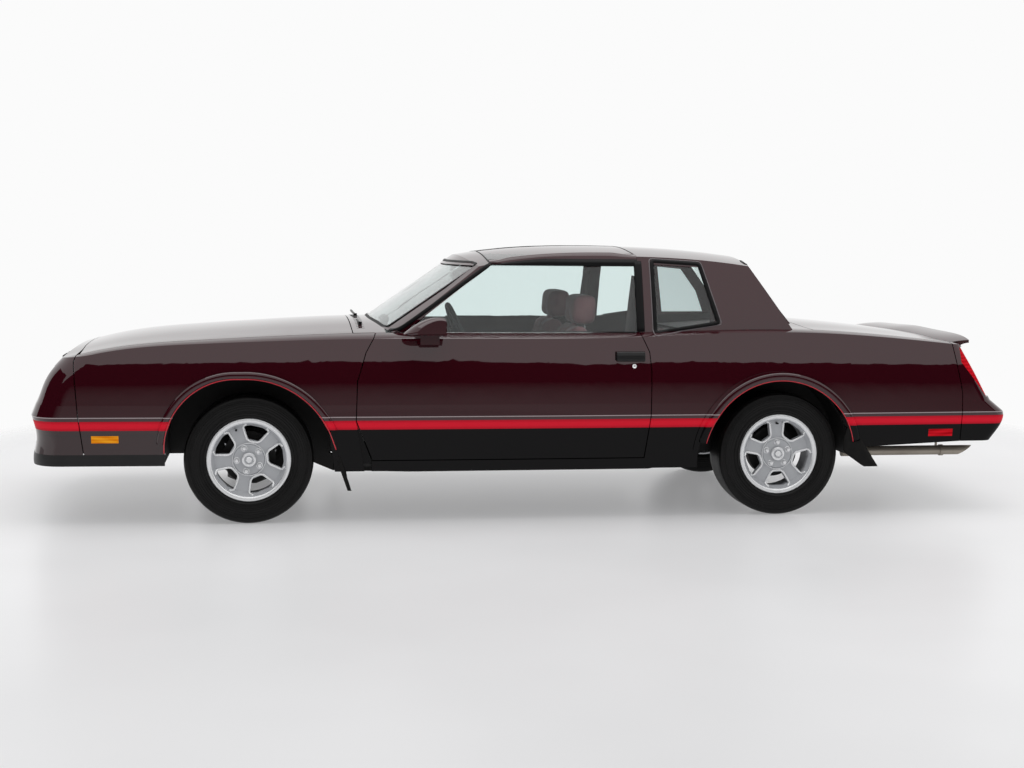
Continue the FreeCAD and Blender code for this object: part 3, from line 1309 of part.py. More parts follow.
wheel_centre = Vector(FRONT_AXLE_X + S.cowl_from_front_axle + S.screen_run * 0.983, -S.seat_half_pitch,
                      S.belt_height - S.crest_radius * 1.3)
column_tilt = math.radians(68.0)
column_axis = Vector(math.sin(column_tilt), 0, math.cos(column_tilt))
rim = doc.addObject("Part::Torus", "steering_rim")
bind(rim, Radius1=L("steering_wheel_radius"), Radius2=L("steering_rim_radius"))
doc.recompute()
spoke_w = S.steering_rim_radius * 2.4
spoke_t = S.steering_rim_radius * 0.7
r = S.steering_wheel_radius
spokes = Part.makeBox(r * 2, spoke_w, spoke_t, Vector(-r, -spoke_w / 2, -spoke_t * 2))
lower_spoke = Part.makeBox(spoke_w, r, spoke_t, Vector(-spoke_w / 2, -r, -spoke_t * 2))
boss = Part.makeCylinder(r * 0.34, S.steering_rim_radius * 3, Vector(0, 0, -S.steering_rim_radius * 3))
steering = rim.Shape.fuse([spokes, lower_spoke, boss])
turned = Rotation(Vector(0, 0, 1), column_axis)
upright_turn = Rotation(Vector(0, 0, 1), 90)
steering.Placement = Placement(wheel_centre, turned.multiply(upright_turn))
place("steering_wheel", steering)
column_start = wheel_centre - column_axis * (S.steering_rim_radius * 3 + fit)
column_end = wheel_centre - column_axis * (S.steering_wheel_radius * 1.9)
column = rod(tuple(column_start), tuple(column_end), S.column_radius).cut(dash)
place("steering_column", column.Solids[0])

# Door mirrors on the belt ahead of the glass, and flush pull handles

def belt_z(x, y):
    """Height of the body's top surface above a place in plan."""
    return top_height(x / half_length, abs(y) / S.body_half_width)


mirror_tip_x = FRONT_AXLE_X + S.cowl_from_front_axle + S.overrun * 0.31
mirror_y = S.body_half_width - S.skin_thickness * 2.2
mirror_low = S.belt_height - S.crest_radius * 0.1


def mirror_section(out_share, length_share, height_share, lift_share):
    """One section of the mirror's shell in side view: flat base, swept nose and upright glass edge."""
    y = -mirror_y - S.mirror_width * out_share
    rear_x = mirror_tip_x + S.mirror_length
    tip_x = rear_x - S.mirror_length * length_share
    low = mirror_low + S.mirror_height * lift_share
    top = low + S.mirror_height * height_share
    tip_z = low + S.mirror_height * 0.12
    run = rear_x - tip_x
    return Part.Wire([
        Part.makeLine(Vector(tip_x + run * 0.08, y, low), Vector(rear_x, y, low)),
        Part.makeLine(Vector(rear_x, y, low), Vector(rear_x, y, top - S.mirror_height * 0.12)),
        bezier((rear_x, y, top - S.mirror_height * 0.12), (rear_x, y, top),
               (rear_x - run * 0.2, y, top)),
        bezier((rear_x - run * 0.2, y, top), (rear_x - run * 0.55, y, top), (tip_x, y, tip_z)),
        bezier((tip_x, y, tip_z), (tip_x - run * 0.02, y, low), (tip_x + run * 0.08, y, low)),
    ])


# share of the width out from the door, of the length, of the height, and lift of the base
MIRROR_SHARES = [(0.0, 0.92, 0.86, 0.02), (0.4, 1.0, 0.98, 0.0), (0.8, 0.9, 0.94, 0.03),
                 (1.0, 0.7, 0.72, 0.13)]
mirror_shell = Part.makeLoft([mirror_section(*shares) for shares in MIRROR_SHARES], True, False)
foot_x = mirror_tip_x + S.mirror_length * 0.3
foot = plan_prism([
    (foot_x, -mirror_y + S.mirror_width * 0.3),
    (foot_x + S.mirror_foot_length, -mirror_y + S.mirror_width * 0.3),
    (foot_x + S.mirror_foot_length, -mirror_y - S.mirror_width * 0.2),
    (foot_x + S.mirror_foot_length * 0.2, -mirror_y - S.mirror_width * 0.2)],
    S.belt_height - S.crest_radius * 1.5, mirror_low + S.mirror_height * 0.3)
mirror_left = mirror_shell.fuse(foot).cut(outer_seat)
mirror_left = max(mirror_left.Solids, key=lambda solid: solid.Volume)
place("mirror_left", mirror_left)
place("mirror_right", mirrored(mirror_left))

handle_y = S.body_half_width - S.skin_thickness * 2.2 + fit
handle_plate = block(handle_x, handle_x + S.handle_length,
                     -wide, -handle_y, handle_z, handle_z + S.handle_height)
handle = back_plate.cut(inner).common(handle_plate)
handle_stem = block(handle_x + S.handle_length * 0.35, handle_x + S.handle_length * 0.65,
                    -S.body_half_width + S.skin_thickness, -handle_y,
                    handle_z + S.handle_height * 0.3, handle_z + S.handle_height * 0.7)
handle = handle.fuse(handle_stem)
place("door_handle_left", handle)
place("door_handle_right", mirrored(handle))

# Spoiler across the rear edge of the boot lid, a low wing with drooping ends

spoiler_x = deck_rear_x - S.spoiler_chord * 0.55


def spoiler_section(y_share, chord_share, rise_share):
    y = y_share * S.spoiler_half_width
    chord = S.spoiler_chord * chord_share
    x = spoiler_x + S.spoiler_chord * (1 - chord_share) * 0.5
    low_front = belt_z(x, y) - S.skin_thickness * 0.3
    low_rear = belt_z(x + chord * 0.8, y) - S.skin_thickness * 0.3
    top = belt_z(x + chord * 0.8, y) + S.spoiler_rise * rise_share
    return Part.Wire([
        bezier((x, y, low_front), (x + chord * 0.35, y, low_front + S.spoiler_rise * rise_share * 0.7),
               (x + chord, y, top)),
        Part.makeLine(Vector(x + chord, y, top), Vector(x + chord, y, top - S.spoiler_rise * 0.45)),
        bezier((x + chord, y, top - S.spoiler_rise * 0.45),
               (x + chord * 0.85, y, top - S.spoiler_rise * rise_share * 0.7), (x + chord * 0.62, y, low_rear)),
        Part.makeLine(Vector(x + chord * 0.62, y, low_rear), Vector(x, y, low_front)),
    ])


SPOILER_SHARES = [(0.0, 1.0, 1.0), (0.6, 0.97, 0.98), (0.85, 0.9, 0.85), (0.945, 0.8, 0.6)]
spoiler_rows = [(-y, c, r_) for y, c, r_ in reversed(SPOILER_SHARES[1:])] + SPOILER_SHARES
spoiler = Part.makeLoft([spoiler_section(*row) for row in spoiler_rows], True, False)
spoiler = spoiler.cut(outer_seat)
place("spoiler", max(spoiler.Solids, key=lambda solid: solid.Volume))

# Wipers parked at the foot of the windscreen

wiper_parts = []
for side, pivot_share, tilt in ((-1, 0.62, 0.02), (1, 0.06, 0.02)):
    y0 = -pivot_share * wall_y if side < 0 else pivot_share * wall_y
    x = hood_rear_x + S.skin_thickness * 2.2
    t = S.wiper_thickness
    z = belt_z(x, y0) + fit
    blade = block(x, x + t, y0 - t, y0 + S.wiper_length, z + t, z + t * 2)
    pivot = block(x, x + t * 2, y0 - t, y0 + t, belt_z(x, y0) - t, z + t * 2)
    wiper_parts.append(pivot.fuse(blade).cut(outer_seat))
place("wipers", Part.makeCompound([solid for w_ in wiper_parts for solid in w_.Solids]))

# Mud flaps behind the wheels: a thin sheet across the tyre, and at the rear a side wing

def flap(points, y_low, y_high):
    """A flap sheet: its outline in side view drawn across the car."""
    return side_prism(points, -y_high, -y_low)


rear_edge = REAR_AXLE_X - S.rear_arch_lead + S.rear_arch_radius
flap_t = S.flap_thickness
flap_high = S.dam_top_height + S.rail_height * 0.9
flap_foot = S.sill_height * 0.98
flap_sweep = S.flap_width * 0.6
flap_out = S.body_half_width - S.sill_tuck
rear_sheet = [(rear_edge + gap, flap_high), (rear_edge + gap + flap_t, flap_high),
              (rear_edge + flap_sweep + flap_t, flap_foot), (rear_edge + flap_sweep, flap_foot)]
rear_wing = [(rear_edge + gap, flap_high), (rear_edge + flap_sweep, flap_foot),
             (rear_edge + flap_sweep - S.rail_width * 1.4, flap_foot + gap * 2),
             (rear_edge + gap * 2, flap_foot + S.rail_width)]
rear_flap = flap(rear_sheet, flap_out - S.flap_width, flap_out)
rear_flap = rear_flap.fuse(flap(rear_wing, flap_out - flap_t, flap_out))
below_quarter = block(rear_edge, far_tail, -wide, 0, far_low, S.dam_top_height - fit)
rear_flap = rear_flap.common(seat).fuse(rear_flap.common(below_quarter).cut(outer))
front_edge = FRONT_AXLE_X + S.arch_radius * 1.09
front_foot = S.sill_height * 0.66
front_sheet = [(front_edge, flap_high), (front_edge + flap_t, flap_high),
               (front_edge + S.rail_width * 0.7 + flap_t, front_foot),
               (front_edge + S.rail_width * 0.7, front_foot)]
front_flap = flap(front_sheet, flap_out - S.flap_width, flap_out - S.skin_thickness)
front_flap = front_flap.cut([skin_seat, front_housing, pillar])
flaps = [max(item.Solids, key=lambda solid: solid.Volume) for item in (rear_flap, front_flap)]
place("mud_flaps", both_sides(Part.makeCompound(flaps)))

# Every object has to be sound before anything is written

doc.recompute()
for item in doc.Objects:
    if "Invalid" in item.State or "Error" in item.State:
        raise RuntimeError(f"{item.Label} did not build")
for name, node in nodes.items():
    if node.Shape.isNull() or not node.Shape.isValid():
        raise RuntimeError(f"{name} is not a sound solid")

os.makedirs("parts", exist_ok=True)
for name, node in nodes.items():
    node.Shape.exportStep(f"parts/{name}.step")
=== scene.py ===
"""Two-door coupe: the look of each piece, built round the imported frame."""
import cmath
import math

import bmesh
import bpy
from mathutils import Matrix, Vector
from mathutils.bvhtree import BVHTree


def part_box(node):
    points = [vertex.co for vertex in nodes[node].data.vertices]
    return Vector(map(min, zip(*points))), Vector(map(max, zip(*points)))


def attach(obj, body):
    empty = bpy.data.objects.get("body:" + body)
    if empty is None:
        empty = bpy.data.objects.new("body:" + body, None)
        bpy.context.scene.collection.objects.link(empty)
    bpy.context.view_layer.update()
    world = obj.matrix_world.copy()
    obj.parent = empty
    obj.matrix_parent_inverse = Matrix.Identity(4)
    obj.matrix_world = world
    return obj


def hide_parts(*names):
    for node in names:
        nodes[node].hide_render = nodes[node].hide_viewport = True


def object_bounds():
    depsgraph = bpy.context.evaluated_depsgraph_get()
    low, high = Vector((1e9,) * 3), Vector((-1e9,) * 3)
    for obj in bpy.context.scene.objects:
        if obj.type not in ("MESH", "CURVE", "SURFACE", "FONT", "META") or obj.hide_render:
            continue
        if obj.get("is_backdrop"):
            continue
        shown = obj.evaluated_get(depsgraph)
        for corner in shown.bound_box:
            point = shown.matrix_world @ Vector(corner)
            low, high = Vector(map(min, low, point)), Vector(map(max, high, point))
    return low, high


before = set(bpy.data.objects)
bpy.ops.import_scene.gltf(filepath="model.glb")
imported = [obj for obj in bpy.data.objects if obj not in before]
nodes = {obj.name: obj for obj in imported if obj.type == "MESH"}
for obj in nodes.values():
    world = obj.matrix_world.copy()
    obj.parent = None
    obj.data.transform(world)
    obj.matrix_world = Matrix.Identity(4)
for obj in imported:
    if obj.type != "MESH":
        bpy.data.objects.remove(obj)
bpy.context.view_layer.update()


# Camera
# A 55 mm lens on a full-frame sensor, at standing height, level with the door and
# aimed a little towards the tail. Place and aim come from the wheels' ellipses.
def placed(name, data):
    """Puts a mesh, lamp or camera into the scene."""
    made = bpy.data.objects.new(name, data)
    bpy.context.scene.collection.objects.link(made)
    return made


camera_yaw = 0.149
camera_pitch = 0.095
camera_roll = 0.010
lens = bpy.data.cameras.new("camera")
lens.lens = 54.77
lens.sensor_width = 36
lens.clip_end = 200
camera = placed("camera", lens)
camera.matrix_world = (
    Matrix.Translation((-1.301, -8.647, 1.450)) @ Matrix.Rotation(-camera_yaw, 4, "Z")
    @ Matrix.Rotation(math.pi / 2 - camera_pitch, 4, "X")
    @ Matrix.Rotation(camera_roll, 4, "Z"))
bpy.context.scene.camera = camera
bpy.context.scene.view_settings.view_transform = "Standard"


# Studio floor
# A power-floated concrete pad, sealed pale grey, with rounded corners, that ends
# a few metres behind the car and runs out softly into the white of the studio.
def linear(code):
    """Turns an sRGB hex colour into linear light."""
    parts = [int(code[i:i + 2], 16) / 255 for i in (1, 3, 5)]
    return tuple(
        c / 12.92 if c <= 0.04045 else ((c + 0.055) / 1.055) ** 2.4 for c in parts
    ) + (1.0,)


def add(tree, kind, inputs=(), operation=None):
    """Adds a node: Math takes an operation, Mix mixes colours. Inputs come by name or in
    its sockets' order, and are numbers, hex colours, or nodes and sockets to link."""
    node = tree.nodes.new("ShaderNode" + kind)
    if operation:
        node.operation = operation
    if kind == "Mix":
        node.data_type = "RGBA"
    if isinstance(inputs, dict):
        pairs = [(node.inputs[name], value) for name, value in inputs.items()]
    else:
        pairs = zip([socket for socket in node.inputs if socket.enabled], inputs)
    for socket, value in pairs:
        if isinstance(value, bpy.types.Node):
            value = next(output for output in value.outputs if output.enabled)
        if isinstance(value, bpy.types.NodeSocket):
            tree.links.new(value, socket)
        else:
            socket.default_value = linear(value) if isinstance(value, str) else value
    return node


def new_material(name):
    """An empty node material, with its tree and the place on the car as coordinates."""
    made = bpy.data.materials.new(name)
    made.use_nodes = True
    made.node_tree.nodes.clear()
    return made, made.node_tree, add(made.node_tree, "TexCoord").outputs["Object"]


def distance(tree, ways):
    """The distance that two coordinates make."""
    squares = [add(tree, "Math", (way, way), "MULTIPLY") for way in ways]
    return add(tree, "Math", (add(tree, "Math", squares, "ADD"),), "SQRT")


def flat(name, outline, finish):
    """A flat board of the studio."""
    mesh = bpy.data.meshes.new(name)
    mesh.from_pydata(outline, [], [tuple(range(len(outline)))])
    mesh.materials.append(finish)
    return placed(name, mesh)


pad_half = Vector((4.1, 6.7, 0))
pad_corner_m = 2.2
pad_fade_m = 0.5
sealed_concrete, tree, place = new_material("sealed_concrete")
clouds = add(tree, "TexNoise", (place, 0.45, 3.0))
cloud_share = add(tree, "MapRange", (clouds, 0.3, 0.7))
floor_colour = add(tree, "Mix", (cloud_share, "#bebebf", "#c6c6c7"))
# the haze of the studio lies over the pad, so the shadow under the car stays pale
surface = add(tree, "BsdfPrincipled", {
    "Base Color": floor_colour, "Roughness": 0.32, "Specular IOR Level": 0.25,
    "Emission Color": floor_colour, "Emission Strength": 0.45})
spread = add(tree, "SeparateXYZ", (place,)).outputs
beyond = []
for way, half in ((spread["X"], pad_half.x), (spread["Y"], pad_half.y)):
    for operation, other in (("ABSOLUTE", 0), ("SUBTRACT", half - pad_corner_m),
                             ("MAXIMUM", 0)):
        way = add(tree, "Math", (way, other), operation)
    beyond.append(way)
fade = add(tree, "MapRange", (
    distance(tree, beyond), pad_corner_m - pad_fade_m, pad_corner_m))
add(tree, "OutputMaterial", (add(tree, "MixShader", (
    fade, surface, add(tree, "BsdfTransparent"))),))
studio_floor = flat("studio_floor", [
    (x * pad_half.x, y * pad_half.y, 0) for x, y in ((-1, -1), (1, -1), (1, 1), (-1, 1))],
                    sealed_concrete)
studio_floor.location = (0.5, -2.4, 0)
studio_floor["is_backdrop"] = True


# Light
# One broad soft box overhead and the white air of the studio round it. The air
# shows white to the eye and in gloss and glass, and lights at a lower level.
air = bpy.data.worlds.new("studio_air")
bpy.context.scene.world = air
air.use_nodes = True
tree = air.node_tree
tree.nodes.clear()
ray = add(tree, "LightPath").outputs
seen = ray["Is Camera Ray"]
for way in ("Is Glossy Ray", "Is Transmission Ray"):
    seen = add(tree, "Math", (seen, ray[way]), "MAXIMUM")
lighting = add(tree, "Background", {"Color": "#ffffff", "Strength": 0.7})
shown = add(tree, "Background", {"Color": "#fbfbfb", "Strength": 1.0})
add(tree, "OutputWorld", (add(tree, "MixShader", (seen, lighting, shown)),))

soft_box = bpy.data.lights.new("soft_box", "AREA")
soft_box.shape = "RECTANGLE"
soft_box.size = 9.0
soft_box.size_y = 5.0
soft_box.energy = 210
placed("soft_box", soft_box).location = (0.3, -0.6, 6.2)


# Dark flags
# Black felt boards on stands, one along the near side of the set and one ahead of
# the nose. They keep the white of the studio off the lacquer, and show only in gloss.
black_felt, tree, place = new_material("black_felt_board")
nap = add(tree, "TexNoise", (place, 40.0))
felt = add(tree, "BsdfDiffuse", {
    "Color": add(tree, "Mix", (nap, "#0d0a0b", "#171214"))})
# the cloth thins out towards the floor, so the doors' lower part pales softly
height = add(tree, "SeparateXYZ", (place,)).outputs["Z"]
thinned = add(tree, "MapRange", (height, -0.3, 1.5, 0.45, 1.0))
add(tree, "OutputMaterial", (add(tree, "MixShader", (
    thinned, add(tree, "BsdfTransparent"), felt)),))
near_outline = [(-14, -0.3), (14, -0.3), (14, 3.7), (5.0, 3.75), (3.2, 3.85), (1.9, 3.6),
                (0.4, 4.0), (-2.8, 4.2), (-14, 4.3)]
for board in (flat("near_flag", [(x, -7.7, z) for x, z in near_outline], black_felt),
              flat("front_flag", [(-11, -8, -0.3), (-11, 3.5, -0.3), (-11, 3.5, 7.0),
                                  (-11, -8, 7.0)], black_felt)):
    for way in ("camera", "diffuse", "shadow", "transmission"):
        setattr(board, "visible_" + way, False)
    board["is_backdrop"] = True


# Painted body
# Pressed steel panels and moulded bumper covers in a deep maroon base coat under
# clear lacquer. The side tape and the satin black lower band are sprayed on them.
def clad(finish, *names):
    """Gives CAD nodes their finish."""
    for name in names:
        slots = nodes[name].data.materials
        slots.clear()
        slots.append(finish)


pin_line_m = (0.5385, 0.5430)
red_band_m = (0.477, 0.523)
bumper_joint_m = (0.4500, 0.4535)
front_axle_x = -1.452
rear_axle_x = 1.291
wheel_centre_z = 0.322


def body_paint(name, nose):
    """The maroon coat with its side tape; ahead of the front wheel it stays maroon below."""
    made, tree, place = new_material(name)
    along, across, height = add(tree, "SeparateXYZ", (place,)).outputs
    facing = add(tree, "SeparateXYZ", (add(tree, "TexCoord").outputs["Normal"],)).outputs
    # cells of about a millimetre, below one pixel of the main view
    flake = add(tree, "TexNoise", (place, 900.0, 1.0))
    orange_peel = add(tree, "TexNoise", (place, 60.0, 1.0))

    def between(low, high):
        above = add(tree, "Math", (height, low), "GREATER_THAN")
        below = add(tree, "Math", (height, high), "LESS_THAN")
        return add(tree, "Math", (above, below), "MULTIPLY")

    band = between(*red_band_m)
    # the tape is painted lighter along its middle and darker towards its top and bottom
    # edges: painted highlight and shade, as on a rounded moulding
    off_middle = add(tree, "Math", (height, sum(red_band_m) / 2), "SUBTRACT")
    off_middle = add(tree, "Math", (off_middle,), "ABSOLUTE")
    tape_edge_shade = add(tree, "MapRange", (off_middle, 0.008, 0.023))
    red = add(tree, "Mix", (tape_edge_shade, "#dc1a30", "#b41025"))
    under = add(tree, "Math", (height, red_band_m[0]), "LESS_THAN")
    satin = add(tree, "Math", (under, 0.8), "MULTIPLY")
    layers = [(under, "#0c0b0c"), (band, red), (between(*pin_line_m), "#a09496")]
    if nose:
        before = add(tree, "Math", (along, front_axle_x), "LESS_THAN")
        behind_axle = add(tree, "Math", (1.0, before), "SUBTRACT")
        satin = add(tree, "Math", (satin, behind_axle), "MULTIPLY")
        lower = add(tree, "Mix", (before, "#0c0b0c", "#26080d"))
        joint = add(tree, "Math", (between(*bumper_joint_m), before), "MULTIPLY")
        layers = [(under, lower)] + layers[1:] + [(joint, "#050505")]
    # faces turned to the cabin are trimmed in maroon vinyl, not painted
    inward = add(tree, "Math", (across, facing["Y"]), "MULTIPLY")
    inward = add(tree, "Math", (inward, -0.02), "LESS_THAN")
    downward = add(tree, "Math", (facing["Z"], -0.3), "LESS_THAN")
    high_up = add(tree, "Math", (height, 1.0), "GREATER_THAN")
    beneath = add(tree, "Math", (downward, high_up), "MULTIPLY")
    trim = add(tree, "Math", (inward, beneath), "MAXIMUM")
    colour = add(tree, "Mix", (flake, "#2b070e", "#380a14"))
    for share, layer in layers + [(trim, "#33191d")]:
        colour = add(tree, "Mix", (share, colour, layer))
    dull = add(tree, "Math", (band, 0.85), "MULTIPLY")
    for mask in (satin, trim):
        dull = add(tree, "Math", (dull, mask), "MAXIMUM")
    surface = add(tree, "BsdfPrincipled", {
        "Base Color": colour,
        "Roughness": add(tree, "MapRange", (trim, 0.0, 1.0, 0.32, 0.7)),
        "Coat Weight": add(tree, "Math", (1.0, dull), "SUBTRACT"),
        "Coat Roughness": 0.03,
        "Coat IOR": 1.62,
        "Specular IOR Level": 0.0,
        "Normal": add(tree, "Bump", {"Height": orange_peel, "Strength": 0.04,
                                     "Distance": 0.001}),
    })
    add(tree, "OutputMaterial", (surface,))
    return made


maroon_lacquer = body_paint("maroon_base_coat_and_clear_lacquer", False)
maroon_nose = body_paint("maroon_flexible_bumper_paint", True)
clad(maroon_lacquer, "body_shell", "door_left", "door_right", "hood", "decklid",
     "rear_fascia", "mirror_left", "mirror_right", "spoiler")
clad(maroon_nose, "front_fascia", "front_fender_left", "front_fender_right")


# Air dam, grille, handles and other black mouldings
# Injection-moulded ABS with a fine grained skin that scatters a dull sheen.
black_abs, tree, place = new_material("grained_black_abs")
skin_grain = add(tree, "TexVoronoi", (place, 700.0))
grime = add(tree, "TexNoise", (place, 12.0, 4.0))
surface = add(tree, "BsdfPrincipled", {
    "Base Color": add(tree, "Mix", (grime, "#121213", "#1d1c1d")),
    "Roughness": 0.42, "Specular IOR Level": 0.3,
    "Normal": add(tree, "Bump", {"Height": skin_grain, "Strength": 0.15,
                                 "Distance": 0.0002})})
add(tree, "OutputMaterial", (surface,))
clad(black_abs, "air_dam", "grille", "door_handle_left", "door_handle_right",
     "wipers", "dashboard", "steering_column", "steering_wheel")


# Mud flaps
# Moulded black rubber sheets, matt and a little dusty, screwed to the wheel lips.
def mottled(name, dark, light, pattern, roughness, values=None, texture="TexNoise"):
    """A material whose colour wanders between two; pattern is scale and detail."""
    made, tree, place = new_material(name)
    cloud = add(tree, texture, (place, *pattern))
    colour = add(tree, "Mix", (cloud, dark, light))
    surface = add(tree, "BsdfPrincipled", {
        "Base Color": colour, "Roughness": roughness, **(values or {})})
    add(tree, "OutputMaterial", (surface,))
    return made


flap_rubber = mottled("moulded_flap_rubber", "#0b0b0b", "#1a1918", (26.0, 5.0), 0.6,
                      {"Specular IOR Level": 0.15})
clad(flap_rubber, "mud_flaps")


# Chassis
# Pressed and welded rails, axles and arms, dip-painted satin black.
chassis_black = mottled("satin_chassis_black", "#0a0a0a", "#171514", (9.0, 6.0), 0.6)
clad(chassis_black, "chassis_frame", "front_suspension", "rear_axle", "knuckle_left",
     "knuckle_right", "drive_shaft", "fuel_tank", "engine_block", "cabin_floor",
     "trunk_floor", "firewall", "wheel_housings")


# Exhaust
# Aluminised steel tube, dulled and browned by heat.
clad(mottled("aluminised_steel_tube", "#8a8176", "#bdb5a9", (7.0, 4.0), 0.42,
             {"Metallic": 0.6}), "exhaust")


# Windows
# Tempered and laminated soda-lime glass with a faint green-grey tint.
def window_glass(name, tint_hex):
    """Clear glass that also lets the studio's light through to the cabin."""
    made, tree, place = new_material(name)
    pane = add(tree, "BsdfPrincipled", {
        "Base Color": tint_hex, "Roughness": 0.0, "IOR": 1.45, "Transmission Weight": 1.0})
    passing = add(tree, "BsdfTransparent", {"Color": tint_hex})
    shadow = add(tree, "LightPath").outputs["Is Shadow Ray"]
    add(tree, "OutputMaterial", (add(tree, "MixShader", (shadow, pane, passing)),))
    return made


clear_glass = window_glass("tinted_window_glass", "#edf6f5")
dark_glass = window_glass("smoked_roof_glass", "#3a3537")
clad(clear_glass, "windshield", "rear_window", "quarter_windows", "door_glass_left",
     "door_glass_right")
clad(dark_glass, "roof_panels")


# Window seals
# Extruded black rubber strips, half-round, pushed on round each pane's opening.
# They lie half on the pane and half on the panel beside it.
def skin_of(*names):
    """One search tree over the faces of CAD nodes."""
    places, faces = [], []
    for name in names:
        mesh = nodes[name].data
        first = len(places)
        places.extend(vertex.co.copy() for vertex in mesh.vertices)
        faces.extend([first + index for index in polygon.vertices]
                     for polygon in mesh.polygons)
    return BVHTree.FromPolygons(places, faces)


def dense(line, step_m, closed=False):
    """The line with points added so that none are further apart than a step."""
    points = []
    for start, end in zip(line, line[1:] + line[:closed]):
        start, end = Vector(start), Vector(end)
        count = max(1, round((end - start).length / step_m))
        points.extend(start.lerp(end, index / count) for index in range(count))
    if not closed:
        points.append(Vector(line[-1]))
    return points


def eased(points, rounds, closed=False):
    """Rounds a line's corners by averaging neighbours a few times."""
    for turn in range(rounds):
        last = points
        points = []
        for index, point in enumerate(last):
            if not closed and index in (0, len(last) - 1):
                points.append(point)
                continue
            before, after = last[index - 1], last[(index + 1) % len(last)]
            points.append((before + point * 2 + after) / 4)
    return points


def laid_on(tree, points, way, reach_m=3.0):
    """Drops points along a way onto a skin: places with their outward normals."""
    way = Vector(way).normalized()
    laid = []
    for point in points:
        place, normal, face, span = tree.ray_cast(point - way * reach_m, way)
        if place is not None:
            laid.append((place, -normal if normal.dot(way) > 0 else normal))
    return laid


def piece(name, mesh, finish, body="root"):
    """Makes a part of the car from a mesh and hangs it on its body."""
    mesh.materials.clear()
    mesh.materials.append(finish)
    made = placed(name, mesh)
    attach(made, body)
    return made


def half_round(width_m, height_m, sides=6, sunk_m=0.002):
    """A strip's section: flat underneath, domed on top; pairs of across and outward."""
    dome = [(math.cos(math.pi * index / sides) * width_m / 2,
             math.sin(math.pi * index / sides) * height_m) for index in range(sides + 1)]
    return dome + [(-width_m / 2, -sunk_m), (width_m / 2, -sunk_m)]


def bridged(work, rings, closed_rings=True, closed=False):
    """Adds the faces between neighbouring rings of points."""
    for first, second in zip(rings, rings[1:] + rings[:closed]):
        for i in range(len(first) - (not closed_rings)):
            j = (i + 1) % len(first)
            corners = list(dict.fromkeys((first[i], first[j], second[j], second[i])))
            if len(corners) > 2:
                work.faces.new(corners)


def finished(work, smooth=None):
    """Turns a working mesh into a finished one."""
    if smooth is not None:
        for face in work.faces:
            face.smooth = smooth
    mesh = bpy.data.meshes.new("made")
    work.to_mesh(mesh)
    work.free()
    return mesh


def swept(laid, section, closed=False):
    """Sweeps a section along places and normals, and returns the mesh."""
    work = bmesh.new()
    rings = []
    count = len(laid)
    for index, (place, normal) in enumerate(laid):
        before = laid[index - 1] if closed or index else laid[index]
        after = laid[(index + 1) % count] if closed or index < count - 1 else laid[index]
        along = (after[0] - before[0]).normalized()
        across = along.cross(normal).normalized()
        up = across.cross(along).normalized()
        rings.append([work.verts.new(place + across * a + up * b) for a, b in section])
    bridged(work, rings, closed=closed)
    if not closed:
        work.faces.new(rings[0])
        work.faces.new(rings[-1])
    bmesh.ops.recalc_face_normals(work, faces=work.faces)
    return finished(work, True)


def strip(name, skin, line, way, width_m, height_m, finish, body="root",
          slot="black_plastic", closed=False, step_m=0.02, rounds=2, sunk_m=0.002):
    """A half-round strip along a line dropped onto a skin."""
    points = eased(dense(line, step_m, closed), rounds, closed)
    laid = laid_on(skin, points, way)
    mesh = swept(laid, half_round(width_m, height_m, sunk_m=sunk_m), closed)
    return piece(name, mesh, finish, body)


both = (("left", -1), ("right", 1))


def both_sides(name, skin_names, line, width_m, height_m, finish, body="root",
               slot="black_plastic", **more):
    """A strip on the left side from points (X, Z), and the same on the right."""
    for side, sign in both:
        skin = skin_of(*(n.replace("left", side) for n in skin_names))
        points = [Vector((x, 0, z)) for x, z in line]
        strip(f"{name}_{side}", skin, points, (0, -sign, 0), width_m, height_m, finish,
              body.replace("left", side), slot, **more)


seal_rubber = mottled("extruded_epdm_rubber", "#09090a", "#131314", (30.0, 3.0), 0.5,
                      {"Specular IOR Level": 0.15})
bead_grey = mottled("grey_rubber_bead", "#6a6467", "#7c7679", (30.0, 3.0), 0.45)


down = Vector((0, 0, -1))


def rim_from_above(name, x_low, x_high, half_y):
    """The rim of a pane as seen from above, as a closed line of points."""
    skin = skin_of(name)
    steps = [x_low + 0.004 * step for step in range(int((x_high - x_low) / 0.004))]
    front, back = [], []
    for index in range(-40, 41):
        y = half_y * index / 40
        struck = [x for x in steps if skin.ray_cast(Vector((x, y, 3)), down)[0]]
        if struck:
            front.append(Vector((struck[0], y, 1)))
            back.append(Vector((struck[-1], y, 1)))
    return front + back[::-1]


side_skin = ("body_shell", "door_left", "door_glass_left", "quarter_windows")
both_sides("door_glass_seal", side_skin,
           [(-0.742, 0.965), (-0.700, 0.968), (-0.222, 1.305)], 0.022, 0.006, seal_rubber)
both_sides("door_pillar_seal", side_skin, [(0.553, 1.322), (0.550, 0.962)], 0.042, 0.006,
           seal_rubber)
both_sides("belt_wiper_strip", ("door_left",), [(-0.722, 0.957), (0.522, 0.957)], 0.012,
           0.006, seal_rubber, "door_left")
window_frame_line = [(0.627, 0.956), (0.629, 1.325), (0.884, 1.310), (0.968, 1.006)]
both_sides("quarter_window_frame", side_skin, window_frame_line, 0.022, 0.007,
           seal_rubber, closed=True, step_m=0.014, rounds=1)
frame_edge_line = [(0.614, 0.941), (0.616, 1.337), (0.893, 1.322), (0.985, 0.999)]
both_sides("quarter_frame_bead", side_skin, frame_edge_line, 0.005, 0.003, bead_grey,
           closed=True, step_m=0.014, rounds=1)

top_skin = skin_of("body_shell", "windshield", "rear_window", "hood", "decklid")
strip("windshield_seal", top_skin, rim_from_above("windshield", -0.95, -0.2, 0.75),
      down, 0.018, 0.004, seal_rubber, closed=True)
strip("rear_window_seal", top_skin, rim_from_above("rear_window", 1.0, 1.6, 0.75),
      down, 0.018, 0.004, seal_rubber, closed=True)

